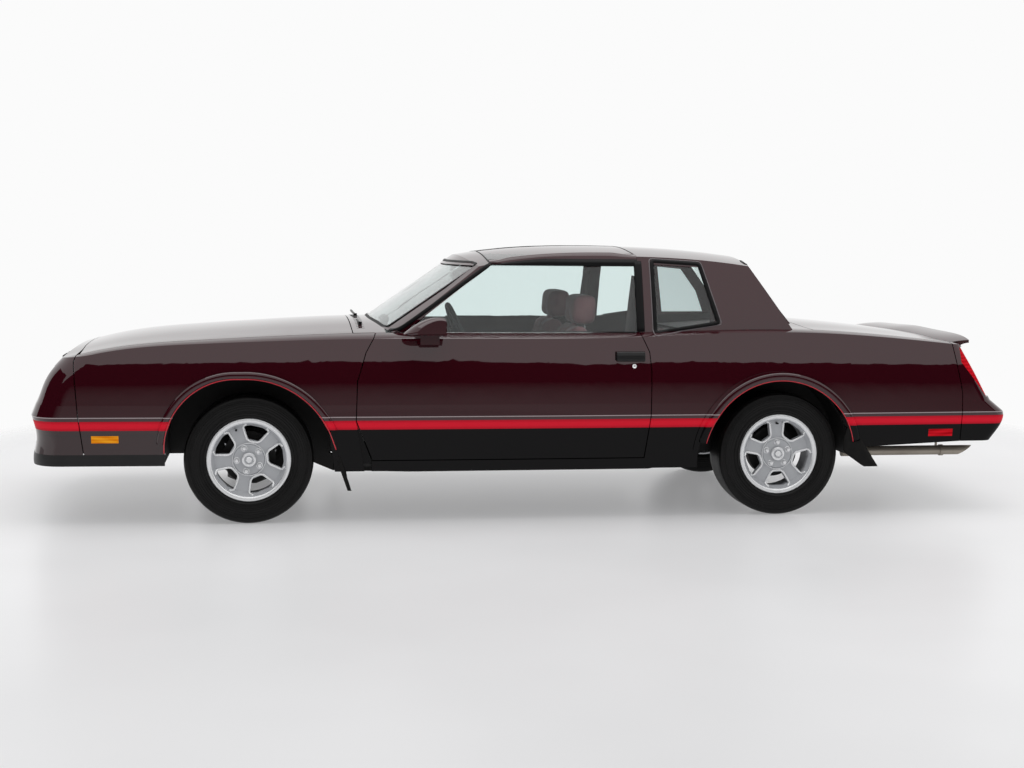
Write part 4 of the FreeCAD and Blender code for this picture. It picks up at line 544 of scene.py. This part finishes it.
roof_skin = skin_of("body_shell", "roof_panels")
for side, sign in both:
    panel_edge = [(-0.224, 0.060), (-0.224, 0.640), (0.552, 0.640), (0.552, 0.060)]
    strip(f"roof_panel_seal_{side}", roof_skin,
          [Vector((x, y * sign, 1.3)) for x, y in panel_edge], down, 0.009, 0.0015,
          seal_rubber, closed=True)


# Roof rails
# Painted steel caps along the outer edge of each lift-off panel, folded over its
# side face and onto its top, with the door's deep black weatherstrip under them.
def skinned(rows):
    """A smooth open sheet through rows of points, as a working mesh."""
    work = bmesh.new()
    bridged(work, [[work.verts.new(point) for point in row] for row in rows], False)
    return work


def lofted(rings):
    """A sheet through rings of points, turned to face away from the car."""
    work = skinned(rings)
    bmesh.ops.recalc_face_normals(work, faces=work.faces)
    if sum(face.normal.y * face.calc_center_median().y for face in work.faces) < 0:
        bmesh.ops.reverse_faces(work, faces=work.faces)
    return finished(work, True)


panel_skin = skin_of("roof_panels")
for side, sign in both:
    caps, seals = [], []
    for index in range(46):
        x = -0.221 + 0.771 * index / 45
        outer = shoulder = None
        for step in range(150):
            y = sign * (0.700 - step * 0.001)
            place, normal, face, span = panel_skin.ray_cast(Vector((x, y, 3)), down)
            if place is None:
                continue
            outer = outer or place.copy()
            if normal.z > 0.8:
                shoulder = place.copy()
                break
        rise = max(shoulder.z - outer.z, 0.001)
        low_z = min(1.331, shoulder.z - 0.007)
        share = min(max((low_z - outer.z) / rise, 0), 1)
        low = outer.lerp(shoulder, share)
        low.z = low_z
        raised = min(1.0, 0.1 + (0.551 - x) / 0.14, 0.3 + (x + 0.221) / 0.14)
        side_way = Vector((0, sign * 0.0026, 0.0012))
        ring = [low + side_way, low.lerp(shoulder, 0.6) + side_way,
                shoulder + Vector((0, sign * 0.0010, max(0.0070 * raised, 0.0020)))]
        for inset, lift in ((0.012, 0.0140), (0.026, 0.0160), (0.046, 0.0110),
                            (0.075, 0.0030)):
            place = roof_skin.ray_cast(Vector((x, shoulder.y - sign * inset, 3)), down)[0]
            ring.append(place + Vector((0, 0, max(lift * raised, 0.0022))))
        ring.append(ring[-1] - Vector((0, 0, 0.0030)))
        caps.append(ring)
        foot = Vector((x, sign * 0.6745, 1.2955))
        out = Vector((0, sign * 0.0050, 0.0015))
        seals.append([foot, foot + out, low + out * 0.9, low])
    piece("roof_rail_" + side, lofted(caps), maroon_lacquer, "root")
    piece("roof_weatherstrip_" + side, lofted(seals), seal_rubber)


# Hidden closings
# Black strips behind the joint of fender and bumper cover and behind the sill's
# front end, where the body is open to the other side.
for side, sign in both:
    shell = skin_of("front_fascia", "front_fender_" + side)
    line = []
    for step in range(18):
        place = shell.ray_cast(Vector((-2.272, 3 * sign, 0.325 + 0.018 * step)),
                               Vector((0, -sign, 0)))[0]
        if place:
            line.append((Vector((-2.257, place.y - sign * 0.024, place.z)),
                         Vector((0, sign, 0))))
    piece("bumper_joint_closing_" + side, swept(line, [
        (-0.016, -0.001), (0.016, -0.001), (0.016, 0.001), (-0.016, 0.001)]), seal_rubber)
    piece("sill_closing_" + side, lofted([
        [Vector((x, sign * y, z)) for x in (-0.895, -0.795)]
        for y, z in ((0.846, 0.284), (0.851, 0.325))]), chassis_black, "root")


# Wheel lips
# The steel of each wheel opening is rolled to a raised round lip in body colour. A
# red vinyl pinstripe, 5 mm wide, is stuck along its lower edge.
red_vinyl = mottled("red_vinyl_pinstripe", "#b30f22", "#d01a30", (18.0, 3.0), 0.3,
                    {"Coat Weight": 0.6})


def arc_through(first, middle, last, count):
    """Points of the circle arc through three points (X, Z)."""
    start, via, end = (complex(x, z) for x, z in (first, middle, last))
    ratio = (end - start) / (via - start)
    centre = start + (via - start) * (ratio - abs(ratio) ** 2) / (ratio - ratio.conjugate())
    turns = [cmath.phase(point - centre) for point in (start, via, end)]
    for i in (1, 2):
        while turns[i] < turns[i - 1]:
            turns[i] += math.tau
    points = [centre + cmath.rect(abs(start - centre), turns[0] + (turns[2] - turns[0])
                                  * i / count) for i in range(count + 1)]
    return [(point.real, point.imag) for point in points]


lip_r = 0.4145
crown, rear_end, rear_mid, front_end = (
    (front_axle_x + lip_r * x, wheel_centre_z + lip_r * z)
    for x, z in ((-0.1, 0.985), (0.965, 0.34), (0.615, 0.775), (-0.995, 0.2)))
front_mid = (crown[0] - (crown[0] - front_end[0]) * math.sqrt(0.5),
             front_end[1] + (crown[1] - front_end[1]) * math.sqrt(0.5))
front_lip_line = ([(front_axle_x + lip_r * 1.04, 0.375)]
                  + arc_through(rear_end, rear_mid, crown, 14)
                  + arc_through(crown, front_mid, front_end, 14)[1:]
                  + [(front_end[0], 0.362)])
both_sides("front_lip_pinstripe", ("front_fender_left",), front_lip_line, 0.005, 0.001,
           red_vinyl, "root", "paint", step_m=0.015)
front_roll_line = [(front_axle_x + (x - front_axle_x) * 1.048,
                    wheel_centre_z + (z - wheel_centre_z) * 1.048)
                   for x, z in front_lip_line[1:-1]]
both_sides("front_wheel_lip", ("front_fender_left",), front_roll_line, 0.034, 0.008,
           maroon_nose, "root", "paint", step_m=0.015, sunk_m=0.006)
for side, sign in both:
    quarter = skin_of("body_shell")
    rolled, taped = [], []
    for degrees in range(12, 170, 3):
        turn = math.radians(degrees)
        hit = laid_on(quarter, [Vector((
            rear_axle_x - 0.026 + math.cos(turn) * 0.434, 0,
            wheel_centre_z - 0.013 + math.sin(turn) * 0.434))], (0, -sign, 0))[0][0]
        for line, radius, out_m in ((rolled, 0.4285, 0.0), (taped, 0.4085, 0.0042)):
            line.append((Vector((rear_axle_x - 0.010 + math.cos(turn) * radius,
                                 hit.y + sign * out_m,
                                 wheel_centre_z - 0.017 + math.sin(turn) * radius)),
                         Vector((0, sign, 0))))
    piece("rear_wheel_lip_" + side, swept(rolled, half_round(0.042, 0.010, 8, 0.008)),
          maroon_lacquer, "root")
    piece("rear_lip_pinstripe_" + side, swept(taped, half_round(0.005, 0.002)), red_vinyl,
          "root")


# Mud flap faces
# The outer faces of the moulded flaps: the rear ones lap over the panel behind the
# wheel opening and hang below the sill, the front ones stand edge-on.
# rows of (height, front and rear end, distance from the middle of the car)
flap_rows = {
    "rear_flap_face_": ((0.497, 1.655, 1.668, 0.8945), (0.450, 1.640, 1.698, 0.887),
                        (0.400, 1.628, 1.729, 0.8785), (0.345, 1.628, 1.763, 0.877),
                        (0.318, 1.655, 1.781, 0.877), (0.268, 1.727, 1.815, 0.877),
                        (0.257, 1.745, 1.821, 0.877)),
    "front_flap_face_": ((0.388, -1.052, -1.022, 0.870), (0.335, -1.024, -1.000, 0.879),
                         (0.250, -0.993, -0.971, 0.877), (0.166, -0.964, -0.944, 0.877))}
for side, sign in both:
    for name, rows in flap_rows.items():
        face = piece(name + side, lofted([
            [Vector((start + (end - start) * i / 4, sign * y, z)) for i in range(5)]
            for z, start, end, y in rows]), flap_rubber)
        face.modifiers.new("thick", "SOLIDIFY").thickness = 0.004


# Wheels
# Gravity-cast aluminium, painted silver grey; the lip and the raised ridges round
# the windows are turned bright. Chromed nuts, a hexagonal cap and a rubber valve.
def from_axle(tree, place, axle_x):
    """The distance from a wheel's axis, the turn about it, and the place along it."""
    along, across, height = add(tree, "SeparateXYZ", (place,)).outputs
    run = add(tree, "Math", (along, axle_x), "SUBTRACT")
    rise = add(tree, "Math", (height, wheel_centre_z), "SUBTRACT")
    turn = add(tree, "Math", (rise, run), "ARCTAN2")
    return distance(tree, (run, rise)), turn, across


turned_from_m = 0.186


def cast_paint(name, axle_x):
    """Silver paint over a sand-cast grain; bare turned metal near the rim's lip."""
    made, tree, place = new_material(name)
    radius = from_axle(tree, place, axle_x)[0]
    bare = add(tree, "Math", (radius, turned_from_m), "GREATER_THAN")
    grain = add(tree, "TexNoise", (place, 500.0, 2.0))
    dust = add(tree, "TexNoise", (place, 14.0, 4.0))
    paint = add(tree, "Mix", (dust, "#a8aaae", "#bcbec1"))
    surface = add(tree, "BsdfPrincipled", {
        "Base Color": add(tree, "Mix", (bare, paint, "#dcdee1")),
        "Metallic": add(tree, "MapRange", (bare, 0.0, 1.0, 0.15, 0.9)),
        "Roughness": add(tree, "MapRange", (bare, 0.0, 1.0, 0.42, 0.22)),
        "Normal": add(tree, "Bump", {"Height": grain, "Strength": 0.1,
                                     "Distance": 0.0003})})
    add(tree, "OutputMaterial", (surface,))
    return made


bright_metal = mottled("turned_bright_aluminium", "#e6e7e9", "#f4f5f6", (900.0, 1.0), 0.26,
                       {"Metallic": 0.4})


def turned(profile, sides, closed=False):
    """Turns a profile of (radius, along) about the local Y axis."""
    work = bmesh.new()
    rings = []
    for radius, along in profile:
        if radius < 1e-6:
            rings.append([work.verts.new((0, along, 0))] * sides)
            continue
        rings.append([work.verts.new((radius * math.cos(math.tau * i / sides), along,
                                      radius * math.sin(math.tau * i / sides)))
                      for i in range(sides)])
    bridged(work, rings, closed=closed)
    bmesh.ops.recalc_face_normals(work, faces=work.faces)
    return finished(work, sides > 8)


def gathered(meshes):
    """Joins (mesh, matrix) pairs into one mesh."""
    work = bmesh.new()
    for mesh, matrix in meshes:
        mesh.transform(matrix)
        work.from_mesh(mesh)
        bpy.data.meshes.remove(mesh)
    return finished(work)


ridge_section = [(-0.0062, -0.002), (-0.0042, 0.0070), (0.0042, 0.0070), (0.0062, -0.002)]
ridge_line = [(0.1745, -0.052), (0.158, -0.0675), (0.100, -0.0345), (0.0895, -0.018),
              (0.0895, 0.018), (0.100, 0.0345), (0.158, 0.0675), (0.1745, 0.052)]
window_turns = {"front_left": 77.0, "front_right": 41.0, "rear_left": 56.0,
                "rear_right": 23.0}
bolt_circle_m = 0.1206
# profiles of (radius, along), each with its number of sides: the seat and the nut, the
# bright lip, the hexagonal cap, the ring round it and the ring round the nuts
nut_profiles = ((24, ((0.0165, -0.0755), (0.0165, -0.0775), (0.0125, -0.0775))),
                (6, ((0.011, -0.070), (0.011, -0.089), (0.0085, -0.093), (0, -0.0935))))
ring_profiles = (
    (96, ((0.1870, -0.0930), (0.1915, -0.0982), (0.1990, -0.1000), (0.2060, -0.0996),
          (0.2086, -0.0970), (0.2086, -0.0930))),
    (6, ((0, -0.0990), (0.0135, -0.0990), (0.0165, -0.0965), (0.0165, -0.0890))),
    (48, ((0.0225, -0.0902), (0.0240, -0.0925), (0.0300, -0.0925), (0.0345, -0.0900))),
    (72, ((0.0800, -0.0755), (0.0812, -0.0782), (0.0828, -0.0782), (0.0840, -0.0755))))
valve_profile = ((0.0055, -0.066), (0.0055, -0.078), (0.0040, -0.082), (0.0040, -0.094),
                 (0.0028, -0.096), (0, -0.096))
# each axle's X and half its track
axles = {"front": (front_axle_x, 0.743), "rear": (rear_axle_x, 0.734)}
cast_paints = {axle: cast_paint("painted_cast_aluminium_" + axle, x)
               for axle, (x, half_track) in axles.items()}


def spun(degrees):
    """A turn about the wheel's axis."""
    return Matrix.Rotation(math.radians(degrees), 4, "Y")


def hub(corner):
    """A wheel's axle, and the place of its hub with the outer face turned to -Y."""
    axle, side = corner.split("_")
    x, half_track = axles[axle]
    sign = -1 if side == "left" else 1
    return axle, (Matrix.Translation((x, sign * half_track, wheel_centre_z))
                  @ Matrix.Rotation(0 if side == "left" else math.pi, 4, "Z"))


for corner, window_turn in window_turns.items():
    axle, site = hub(corner)
    site = site @ spun(-window_turn)
    body = "wheel_" + corner
    clad(cast_paints[axle], body)
    skin = skin_of(body)
    bright = []
    for turn in range(5):
        about = site @ spun(-72 * turn)
        points = eased(dense([(r, -0.2, w) for r, w in ridge_line], 0.006), 1)
        way = (site.to_3x3() @ Vector((0, 1, 0))).normalized()
        laid = laid_on(skin, [about @ p for p in points], way, reach_m=0.0)
        bright.append((swept(laid, ridge_section), Matrix.Identity(4)))
        nut = site @ spun(-72 * turn - 36) @ Matrix.Translation((bolt_circle_m / 2, 0, 0))
        bright += [(turned(profile, sides), nut) for sides, profile in nut_profiles]
    bright += [(turned(profile, sides), site) for sides, profile in ring_profiles]
    piece("wheel_ridges_" + corner, gathered(bright), bright_metal, body)
    valve_place = site @ spun(-36) @ Matrix.Translation((0.160, 0, 0))
    piece("valve_" + corner, gathered([(turned(valve_profile, 16), valve_place)]),
          seal_rubber, body)


# Tyres
# Vulcanised black rubber radials: smooth side walls with raised mould rings, and
# a tread cut by three grooves round and fine sipes across.
def wave(tree, way, pitch):
    """A sine along a coordinate, with one crest in each pitch."""
    phase = add(tree, "Math", (way, math.tau / pitch), "MULTIPLY")
    return add(tree, "Math", (phase,), "SINE")


tread_from_m = 0.314
groove_pitch_m = 0.042
sipes_round = 84
ring_pitch_m = 0.0115


def tyre_rubber(name, axle_x):
    """Black rubber with the grooves of the tread and the rings of the side wall."""
    made, tree, place = new_material(name)
    radius, turn, across = from_axle(tree, place, axle_x)
    tread = add(tree, "Math", (radius, tread_from_m), "GREATER_THAN")
    wall = add(tree, "Math", (1.0, tread), "SUBTRACT")
    groove = wave(tree, across, groove_pitch_m)
    groove = add(tree, "Math", (groove, 0.72), "GREATER_THAN")
    sipe = wave(tree, turn, math.tau / sipes_round)
    sipe = add(tree, "Math", (sipe, 0.8), "GREATER_THAN")
    cuts_and_shade = add(tree, "Math", (groove, sipe), "MAXIMUM")
    cuts_and_shade = add(tree, "Math", (cuts_and_shade, tread), "MULTIPLY")
    rings = wave(tree, radius, ring_pitch_m)
    for share in (wall, 0.12):
        rings = add(tree, "Math", (rings, share), "MULTIPLY")
    height = add(tree, "Math", (rings, cuts_and_shade), "SUBTRACT")
    dust = add(tree, "TexNoise", (place, 22.0, 5.0))
    colour = add(tree, "Mix", (dust, "#0b0b0b", "#161515"))
    # the grooves and sipes are painted near black: painted shade in the cuts
    surface = add(tree, "BsdfPrincipled", {
        "Base Color": add(tree, "Mix", (cuts_and_shade, colour, "#050505")),
        "Roughness": 0.42, "Specular IOR Level": 0.2,
        "Normal": add(tree, "Bump", {"Height": height, "Strength": 0.9,
                                     "Distance": 0.004})})
    add(tree, "OutputMaterial", (surface,))
    return made


rubbers = {axle: tyre_rubber("vulcanised_rubber_" + axle, x)
           for axle, (x, half_track) in axles.items()}
# radius, place along the axle and half width of each ring
mould_rings = ((0.2225, -0.1045, 0.0030), (0.2400, -0.1070, 0.0016),
               (0.2880, -0.1062, 0.0018), (0.2960, -0.1048, 0.0022))
for corner in window_turns:
    axle, site = hub(corner)
    clad(rubbers[axle], "tyre_" + corner)
    rings = [(turned([(ring_r + wide * math.cos(math.tau * i / 8),
                       ring_y + wide * math.sin(math.tau * i / 8)) for i in range(8)],
                     72, closed=True), site) for ring_r, ring_y, wide in mould_rings]
    piece("tyre_rings_" + corner, gathered(rings), rubbers[axle], "wheel_" + corner)


# Lamps
# Moulded acrylic lenses with flutes, in front of vacuum-metallised reflectors.
# The tail lamps are deep red; their lit look is painted light, in lighter and darker stripes
# along the flutes.
def acrylic(name, dark_hex, light_hex, flute_m):
    """Coloured acrylic with upright flutes on its inner face, painted lighter and darker
    along them as painted light.
    """
    made, tree, place = new_material(name)
    along, across, height = add(tree, "SeparateXYZ", (place,)).outputs
    # painted highlight and shade: the colour runs lighter and darker with the flutes
    share = add(tree, "Math", (wave(tree, across, flute_m), wave(tree, height, flute_m * 3)),
                "ADD")
    share = add(tree, "MapRange", (share, -2.0, 2.0))
    surface = add(tree, "BsdfPrincipled", {
        "Base Color": add(tree, "Mix", (share, dark_hex, light_hex)),
        "Roughness": 0.35, "Coat Weight": 0.02, "Coat Roughness": 0.1,
        "Specular IOR Level": 0.0,
        "Normal": add(tree, "Bump", {"Height": share, "Strength": 0.5,
                                     "Distance": 0.0015})})
    add(tree, "OutputMaterial", (surface,))
    return made


clad(acrylic("red_acrylic_lens", "#a80a16", "#e01f2c", 0.006), "tail_lamps")
clad(acrylic("amber_acrylic_lens", "#e07a08", "#ffae2a", 0.005), "turn_lamps")
clad(clear_glass, "headlamps")

metallised, tree, place = new_material("vacuum_metallised_reflector")
facets = wave(tree, add(tree, "SeparateXYZ", (place,)).outputs["Y"], 0.012)
surface = add(tree, "BsdfPrincipled", {
    "Base Color": "#d9dcdf", "Metallic": 0.95, "Roughness": 0.12,
    "Normal": add(tree, "Bump", {"Height": facets, "Strength": 0.4, "Distance": 0.002})})
add(tree, "OutputMaterial", (surface,))


def behind(skin, y_low, y_high, z_low, z_high, set_back_m, bowl_m, columns=18, rows=10):
    """A sheet behind a lens or grille that follows its face, bowled in the middle."""
    grid = []
    for row in range(rows + 1):
        grid.append([])
        for column in range(columns + 1):
            u, v = column / columns * 2 - 1, row / rows * 2 - 1
            y = y_low + (y_high - y_low) * column / columns
            z = z_low + (z_high - z_low) * row / rows
            inside_y = y_low + (y_high - y_low) * min(max(column / columns, 0.04), 0.96)
            inside_z = z_low + (z_high - z_low) * min(max(row / rows, 0.06), 0.94)
            hit = skin.ray_cast(Vector((-3, inside_y, inside_z)), Vector((1, 0, 0)))[0]
            if hit is None:
                hit = skin.find_nearest(Vector((-2.52, inside_y, inside_z)))[0]
            x = hit.x + set_back_m + bowl_m * (1 - u * u) * (1 - v * v)
            grid[-1].append((x, y, z))
    return finished(skinned(grid), True)


lamp_skin = skin_of("headlamps")
lamp_middle = (0.251 + 0.7295) / 2
lamp_low, lamp_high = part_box("headlamps")
bowls = []
for sign in (-1, 1):
    for y_in, y_out in ((0.253, lamp_middle - 0.004), (lamp_middle + 0.004, 0.7275)):
        y_low, y_high = sorted((y_in * sign, y_out * sign))
        bowls.append((behind(lamp_skin, y_low, y_high, lamp_low[2] + 0.002,
                             lamp_high[2] - 0.002, 0.012, 0.060), Matrix.Identity(4)))
piece("headlamp_reflectors", gathered(bowls), metallised, "root")
bulbs = []
for sign in (-1, 1):
    for y in (0.371, 0.609):
        hit = lamp_skin.ray_cast(Vector((-3, y * sign, 0.708)), Vector((1, 0, 0)))[0]
        bulbs.append((turned([(0, -0.030), (0.006, -0.029), (0.009, -0.022), (0.009, 0.0),
                              (0.016, 0.004), (0.016, 0.022)], 20),
                      Matrix.Translation((hit.x + 0.050, y * sign, 0.708))
                      @ Matrix.Rotation(-math.pi / 2, 4, "Z")))
piece("headlamp_bulbs", gathered(bulbs), bright_metal, "root")
grille_skin = skin_of("grille")
grille_low, grille_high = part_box("grille")
piece("grille_backing", behind(grille_skin, grille_low[1] + 0.002, grille_high[1] - 0.002,
                               grille_low[2] + 0.002, grille_high[2] - 0.002, 0.030, 0.02),
      black_abs)


# Air intake backing
# A black moulded duct wall that closes the slot between the front turn lamps, and its
# floor, which runs forward to the bumper cover's lower lip.
piece("intake_backing", lofted(
    [[Vector((x + bow * y * y, y, z)) for y in (-0.46, -0.3, -0.15, 0.0, 0.15, 0.3, 0.46)]
     for x, bow, z in ((-2.528, 0.15, 0.366), (-2.400, 0.0, 0.395), (-2.400, 0.0, 0.560))]),
      black_abs)


# Door pulls, locks and mirror glasses
# A black moulded pull over each handle's recess, a chromed lock barrel under it, and
# a silvered pane in each mirror's back.
for side, sign in both:
    pull = [(Vector((0.403 + 0.0149 * index, sign * 0.8705, 0.8385)), Vector((0, sign, 0)))
            for index in range(11)]
    handle = piece("door_pull_" + side, swept(pull, [
        (-0.025, -0.006), (-0.025, 0.010), (-0.021, 0.018), (-0.008, 0.0235),
        (0.012, 0.0245), (0.021, 0.020), (0.025, 0.012), (0.025, -0.006)]),
        black_abs, "door_" + side)
    for polygon in handle.data.polygons:
        polygon.use_smooth = False
    rounding = handle.modifiers.new("rounding", "BEVEL")
    rounding.width = 0.0045
    rounding.segments = 3
    rounding.limit_method = "ANGLE"
    rounding.angle_limit = math.radians(50)
for side, sign in both:
    skin = skin_of("door_" + side)
    (place, normal), = laid_on(skin, [Vector((0.496, 0, 0.791))], (0, -sign, 0))
    out = normal.to_track_quat("-Y", "Z").to_matrix().to_4x4()
    # the chromed barrel, with a black piece in it as painted shade in the keyhole
    for name, profile, sides, finish, slot in (
            ("door_lock_", [(0.0115, 0.002), (0.0115, -0.0022), (0.0085, -0.0030),
                            (0.0075, -0.0012), (0.0, -0.0012)], 28, bright_metal,
             "cast_wheel"),
            ("keyhole_shade_", [(0.0, -0.0016), (0.0030, -0.0016), (0.0030, -0.0008)], 4,
             seal_rubber, "black_plastic")):
        piece(name + side, gathered([(turned(profile, sides), Matrix.Translation(place)
                                      @ out)]), finish, "door_" + side)

silvered_glass = mottled("silvered_mirror_glass", "#c9ced1", "#dde1e3", (30.0,), 0.03,
                         {"Metallic": 1.0})
for side, sign in both:
    mesh = nodes["mirror_" + side].data
    back = max(vertex.co.x for vertex in mesh.vertices)
    rim = [vertex.co for vertex in mesh.vertices if vertex.co.x > back - 0.0006]
    middle = sum(rim, Vector()) / len(rim)
    rim = sorted(rim, key=lambda p: math.atan2(p.z - middle.z, p.y - middle.y))
    work = bmesh.new()
    outer_ring = [work.verts.new((back + 0.0012, middle.y + (p.y - middle.y) * 0.86,
                                  middle.z + (p.z - middle.z) * 0.84)) for p in rim]
    work.faces.new(outer_ring)
    bmesh.ops.remove_doubles(work, verts=work.verts, dist=0.0008)
    piece("mirror_glass_" + side, finished(work), silvered_glass, "door_" + side)


# Cowl vents
# Slots stamped in the cowl ahead of the windshield; their dark openings are painted
# shade, drawn as short black inserts.
slot_shades = []
cowl_skin = skin_of("body_shell")
for index in range(22):
    y = -0.60 + index * 0.0571
    laid = laid_on(cowl_skin, [Vector((-0.905 + 0.0008 * abs(y) + i * 0.010, y, 1.0))
                               for i in range(5)], down)
    if len(laid) > 2:
        slot_shades.append((swept(laid, half_round(0.012, 0.0008, 4, 0.0005)), Matrix.Identity(4)))
# black inserts as painted shade in the slots
piece("cowl_slot_shades", gathered(slot_shades), black_abs)


# Cabin trim
# Moulded parcel shelf behind the seat, cloth trim on the inside of the rear pillars
# with a pale inlay that glows as painted light, and woven seat belts from the door
# pillars to the front seats.
trim_cloth = mottled("maroon_trim_cloth", "#3a1d21", "#52292f", (260.0, 3.0), 0.9,
                     {"Sheen Weight": 0.3})
# the pale inlay glows though it is no lamp: painted light
glowing_pale_trim = mottled("pale_pillar_cloth_painted_glow", "#dfe5e4", "#edf1f0", (300.0, 2.0), 0.95,
                    {"Emission Color": "#e3eeee", "Emission Strength": 0.62})


def panel(corners, columns, rows, crown_m=0.0):
    """A four-cornered sheet, crowned upward in the middle of its width."""
    a, b, c, d = (Vector(corner) for corner in corners)
    return finished(skinned([[
        a.lerp(b, i / columns).lerp(d.lerp(c, i / columns), row / rows)
        + Vector((0, 0, crown_m * math.sin(math.pi * i / columns)))
        for i in range(columns + 1)] for row in range(rows + 1)]), True)


piece("parcel_shelf", panel([
    (0.960, -0.60, 0.925), (0.960, 0.60, 0.925), (1.370, 0.60, 0.955), (1.370, -0.60, 0.955)],
    24, 10, 0.010), trim_cloth, "root")
for side, sign in both:
    for name, inset_y, finish, corners in (
            ("pillar_trim_", 0.628, trim_cloth, (
                (0.960, 0.975), (1.405, 0.995), (1.160, 1.286), (0.960, 1.300))),
            ("glowing_pillar_inlay_", 0.620, glowing_pale_trim, (
                (1.008, 0.998), (1.262, 1.000), (1.172, 1.252), (0.976, 1.270)))):
        piece(name + side, panel([(x, sign * inset_y, z) for x, z in corners], 4, 4),
              finish, "root")

belt_web = mottled("woven_polyester_webbing", "#2c1f22", "#3f3033", (90.0, 0.5), 0.7,
                   texture="TexWave")
for side, sign in both:
    route = [(0.548, 0.655, 1.245), (0.530, 0.660, 1.100), (0.515, 0.665, 0.940),
             (0.500, 0.655, 0.620), (0.490, 0.640, 0.330)]
    points = eased(dense([(x, y * sign, z) for x, y, z in route], 0.03), 3)
    out = Vector((0, sign, 0.1)).normalized()
    piece("seat_belt_" + side, swept([(p, out) for p in points], [
        (-0.023, -0.0008), (0.023, -0.0008), (0.023, 0.0008), (-0.023, 0.0008)]),
        belt_web, "root")


# Seats
# Moulded foam under maroon velour: front buckets with separate headrests and a
# rear bench. Sewn channels run down the cushions and backs between side bolsters.
maroon_velour, tree, place = new_material("maroon_velour")
pile = add(tree, "TexNoise", (place, 420.0, 3.0))
brushed = add(tree, "TexNoise", (place, 11.0, 3.0))
share = add(tree, "Math", (pile, 0.4), "MULTIPLY")
share = add(tree, "Math", (share, brushed), "ADD")
share = add(tree, "MapRange", (share, 0.4, 1.0))
surface = add(tree, "BsdfPrincipled", {
    "Base Color": add(tree, "Mix", (share, "#74424a", "#9c6c70")),
    "Roughness": 0.92, "Sheen Weight": 0.3, "Sheen Roughness": 0.4,
    "Normal": add(tree, "Bump", {"Height": pile, "Strength": 0.3, "Distance": 0.001})})
add(tree, "OutputMaterial", (surface,))
swell_frames = 20
swell_m = 0.012
channel_depth_m = 0.009
channel_half_m = 0.007


def stuffed(name, node, voxel_m, channels_m):
    """Foam under its cover: cloth under pressure swells a copy of the solid."""
    made = piece(name, nodes[node].data.copy(), maroon_velour, "root")
    remesh = made.modifiers.new("remesh", "REMESH")
    remesh.mode = "VOXEL"
    remesh.voxel_size = voxel_m

    def taken():
        shot = bpy.context.evaluated_depsgraph_get()
        return bpy.data.meshes.new_from_object(made.evaluated_get(shot), depsgraph=shot)

    mesh = taken()
    made.modifiers.clear()
    made.data = mesh
    work = bmesh.new()
    work.from_mesh(mesh)
    for turn in range(3):
        bmesh.ops.smooth_vert(work, verts=work.verts, factor=0.5, use_axis_x=True,
                              use_axis_y=True, use_axis_z=True)
    if node != "rear_seat":
        # the headrest's foam is fuller than its core and sits down on the back
        top = max(vertex.co.z for vertex in work.verts)
        rest = [vertex for vertex in work.verts if vertex.co.z > top - 0.142]
        middle_y = sum(vertex.co.y for vertex in rest) / len(rest)
        front = min(vertex.co.x for vertex in rest)
        for vertex in rest:
            vertex.co.x = front + (vertex.co.x - front) * 1.45
            vertex.co.y = middle_y + (vertex.co.y - middle_y) * 1.15
            vertex.co.z = top - (top - vertex.co.z) * 1.15
    work.to_mesh(mesh)
    work.free()
    rest = [vertex.co.copy() for vertex in mesh.vertices]
    cloth = made.modifiers.new("cloth", "CLOTH")
    for setting, value in (
            ("quality", 4), ("tension_stiffness", 12), ("compression_stiffness", 12),
            ("shear_stiffness", 6), ("bending_stiffness", 3), ("use_pressure", True),
            ("uniform_pressure_force", 4)):
        setattr(cloth.settings, setting, value)
    cloth.settings.effector_weights.gravity = 0
    cloth.collision_settings.use_collision = False
    cloth.point_cache.frame_start = 1
    cloth.point_cache.frame_end = swell_frames
    for step in range(1, swell_frames + 1):
        bpy.context.scene.frame_set(step)
    moved = [vertex.co.copy() for vertex in taken().vertices]
    made.modifiers.clear()
    bpy.context.scene.frame_set(1)
    for vertex, start, end in zip(mesh.vertices, rest, moved):
        shift = end - start
        if shift.length > swell_m:
            shift = shift.normalized() * swell_m
        vertex.co = start + shift
    finer = made.modifiers.new("finer", "SUBSURF")
    finer.levels = 1
    mesh = taken()
    made.modifiers.clear()
    made.data = mesh
    across = [vertex.co.y for vertex in mesh.vertices]
    middle_y = (min(across) + max(across)) / 2
    top = max(vertex.co.z for vertex in mesh.vertices)
    normals = [vertex.normal.copy() for vertex in mesh.vertices]
    for vertex, normal in zip(mesh.vertices, normals):
        if vertex.co.z > top - 0.20 and node != "rear_seat":
            continue
        toward = max(-normal.x, normal.z)
        if toward < 0.5:
            continue
        sunk = max(math.exp(-((vertex.co.y - middle_y - y) / channel_half_m) ** 2)
                   for y in channels_m)
        vertex.co -= normal * channel_depth_m * sunk * min(1.0, (toward - 0.5) * 4)
    for polygon in mesh.polygons:
        polygon.use_smooth = True
    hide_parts(node)


bucket_channels = (-0.150, -0.105, -0.063, -0.021, 0.021, 0.063, 0.105, 0.150)
bench_channels = (-0.42, -0.30, -0.18, -0.06, 0.06, 0.18, 0.30, 0.42)
stuffed("driver_seat_cover", "front_seat_left", 0.010, bucket_channels)
stuffed("passenger_seat_cover", "front_seat_right", 0.010, bucket_channels)
stuffed("rear_seat_cover", "rear_seat", 0.012, bench_channels)

low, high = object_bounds()
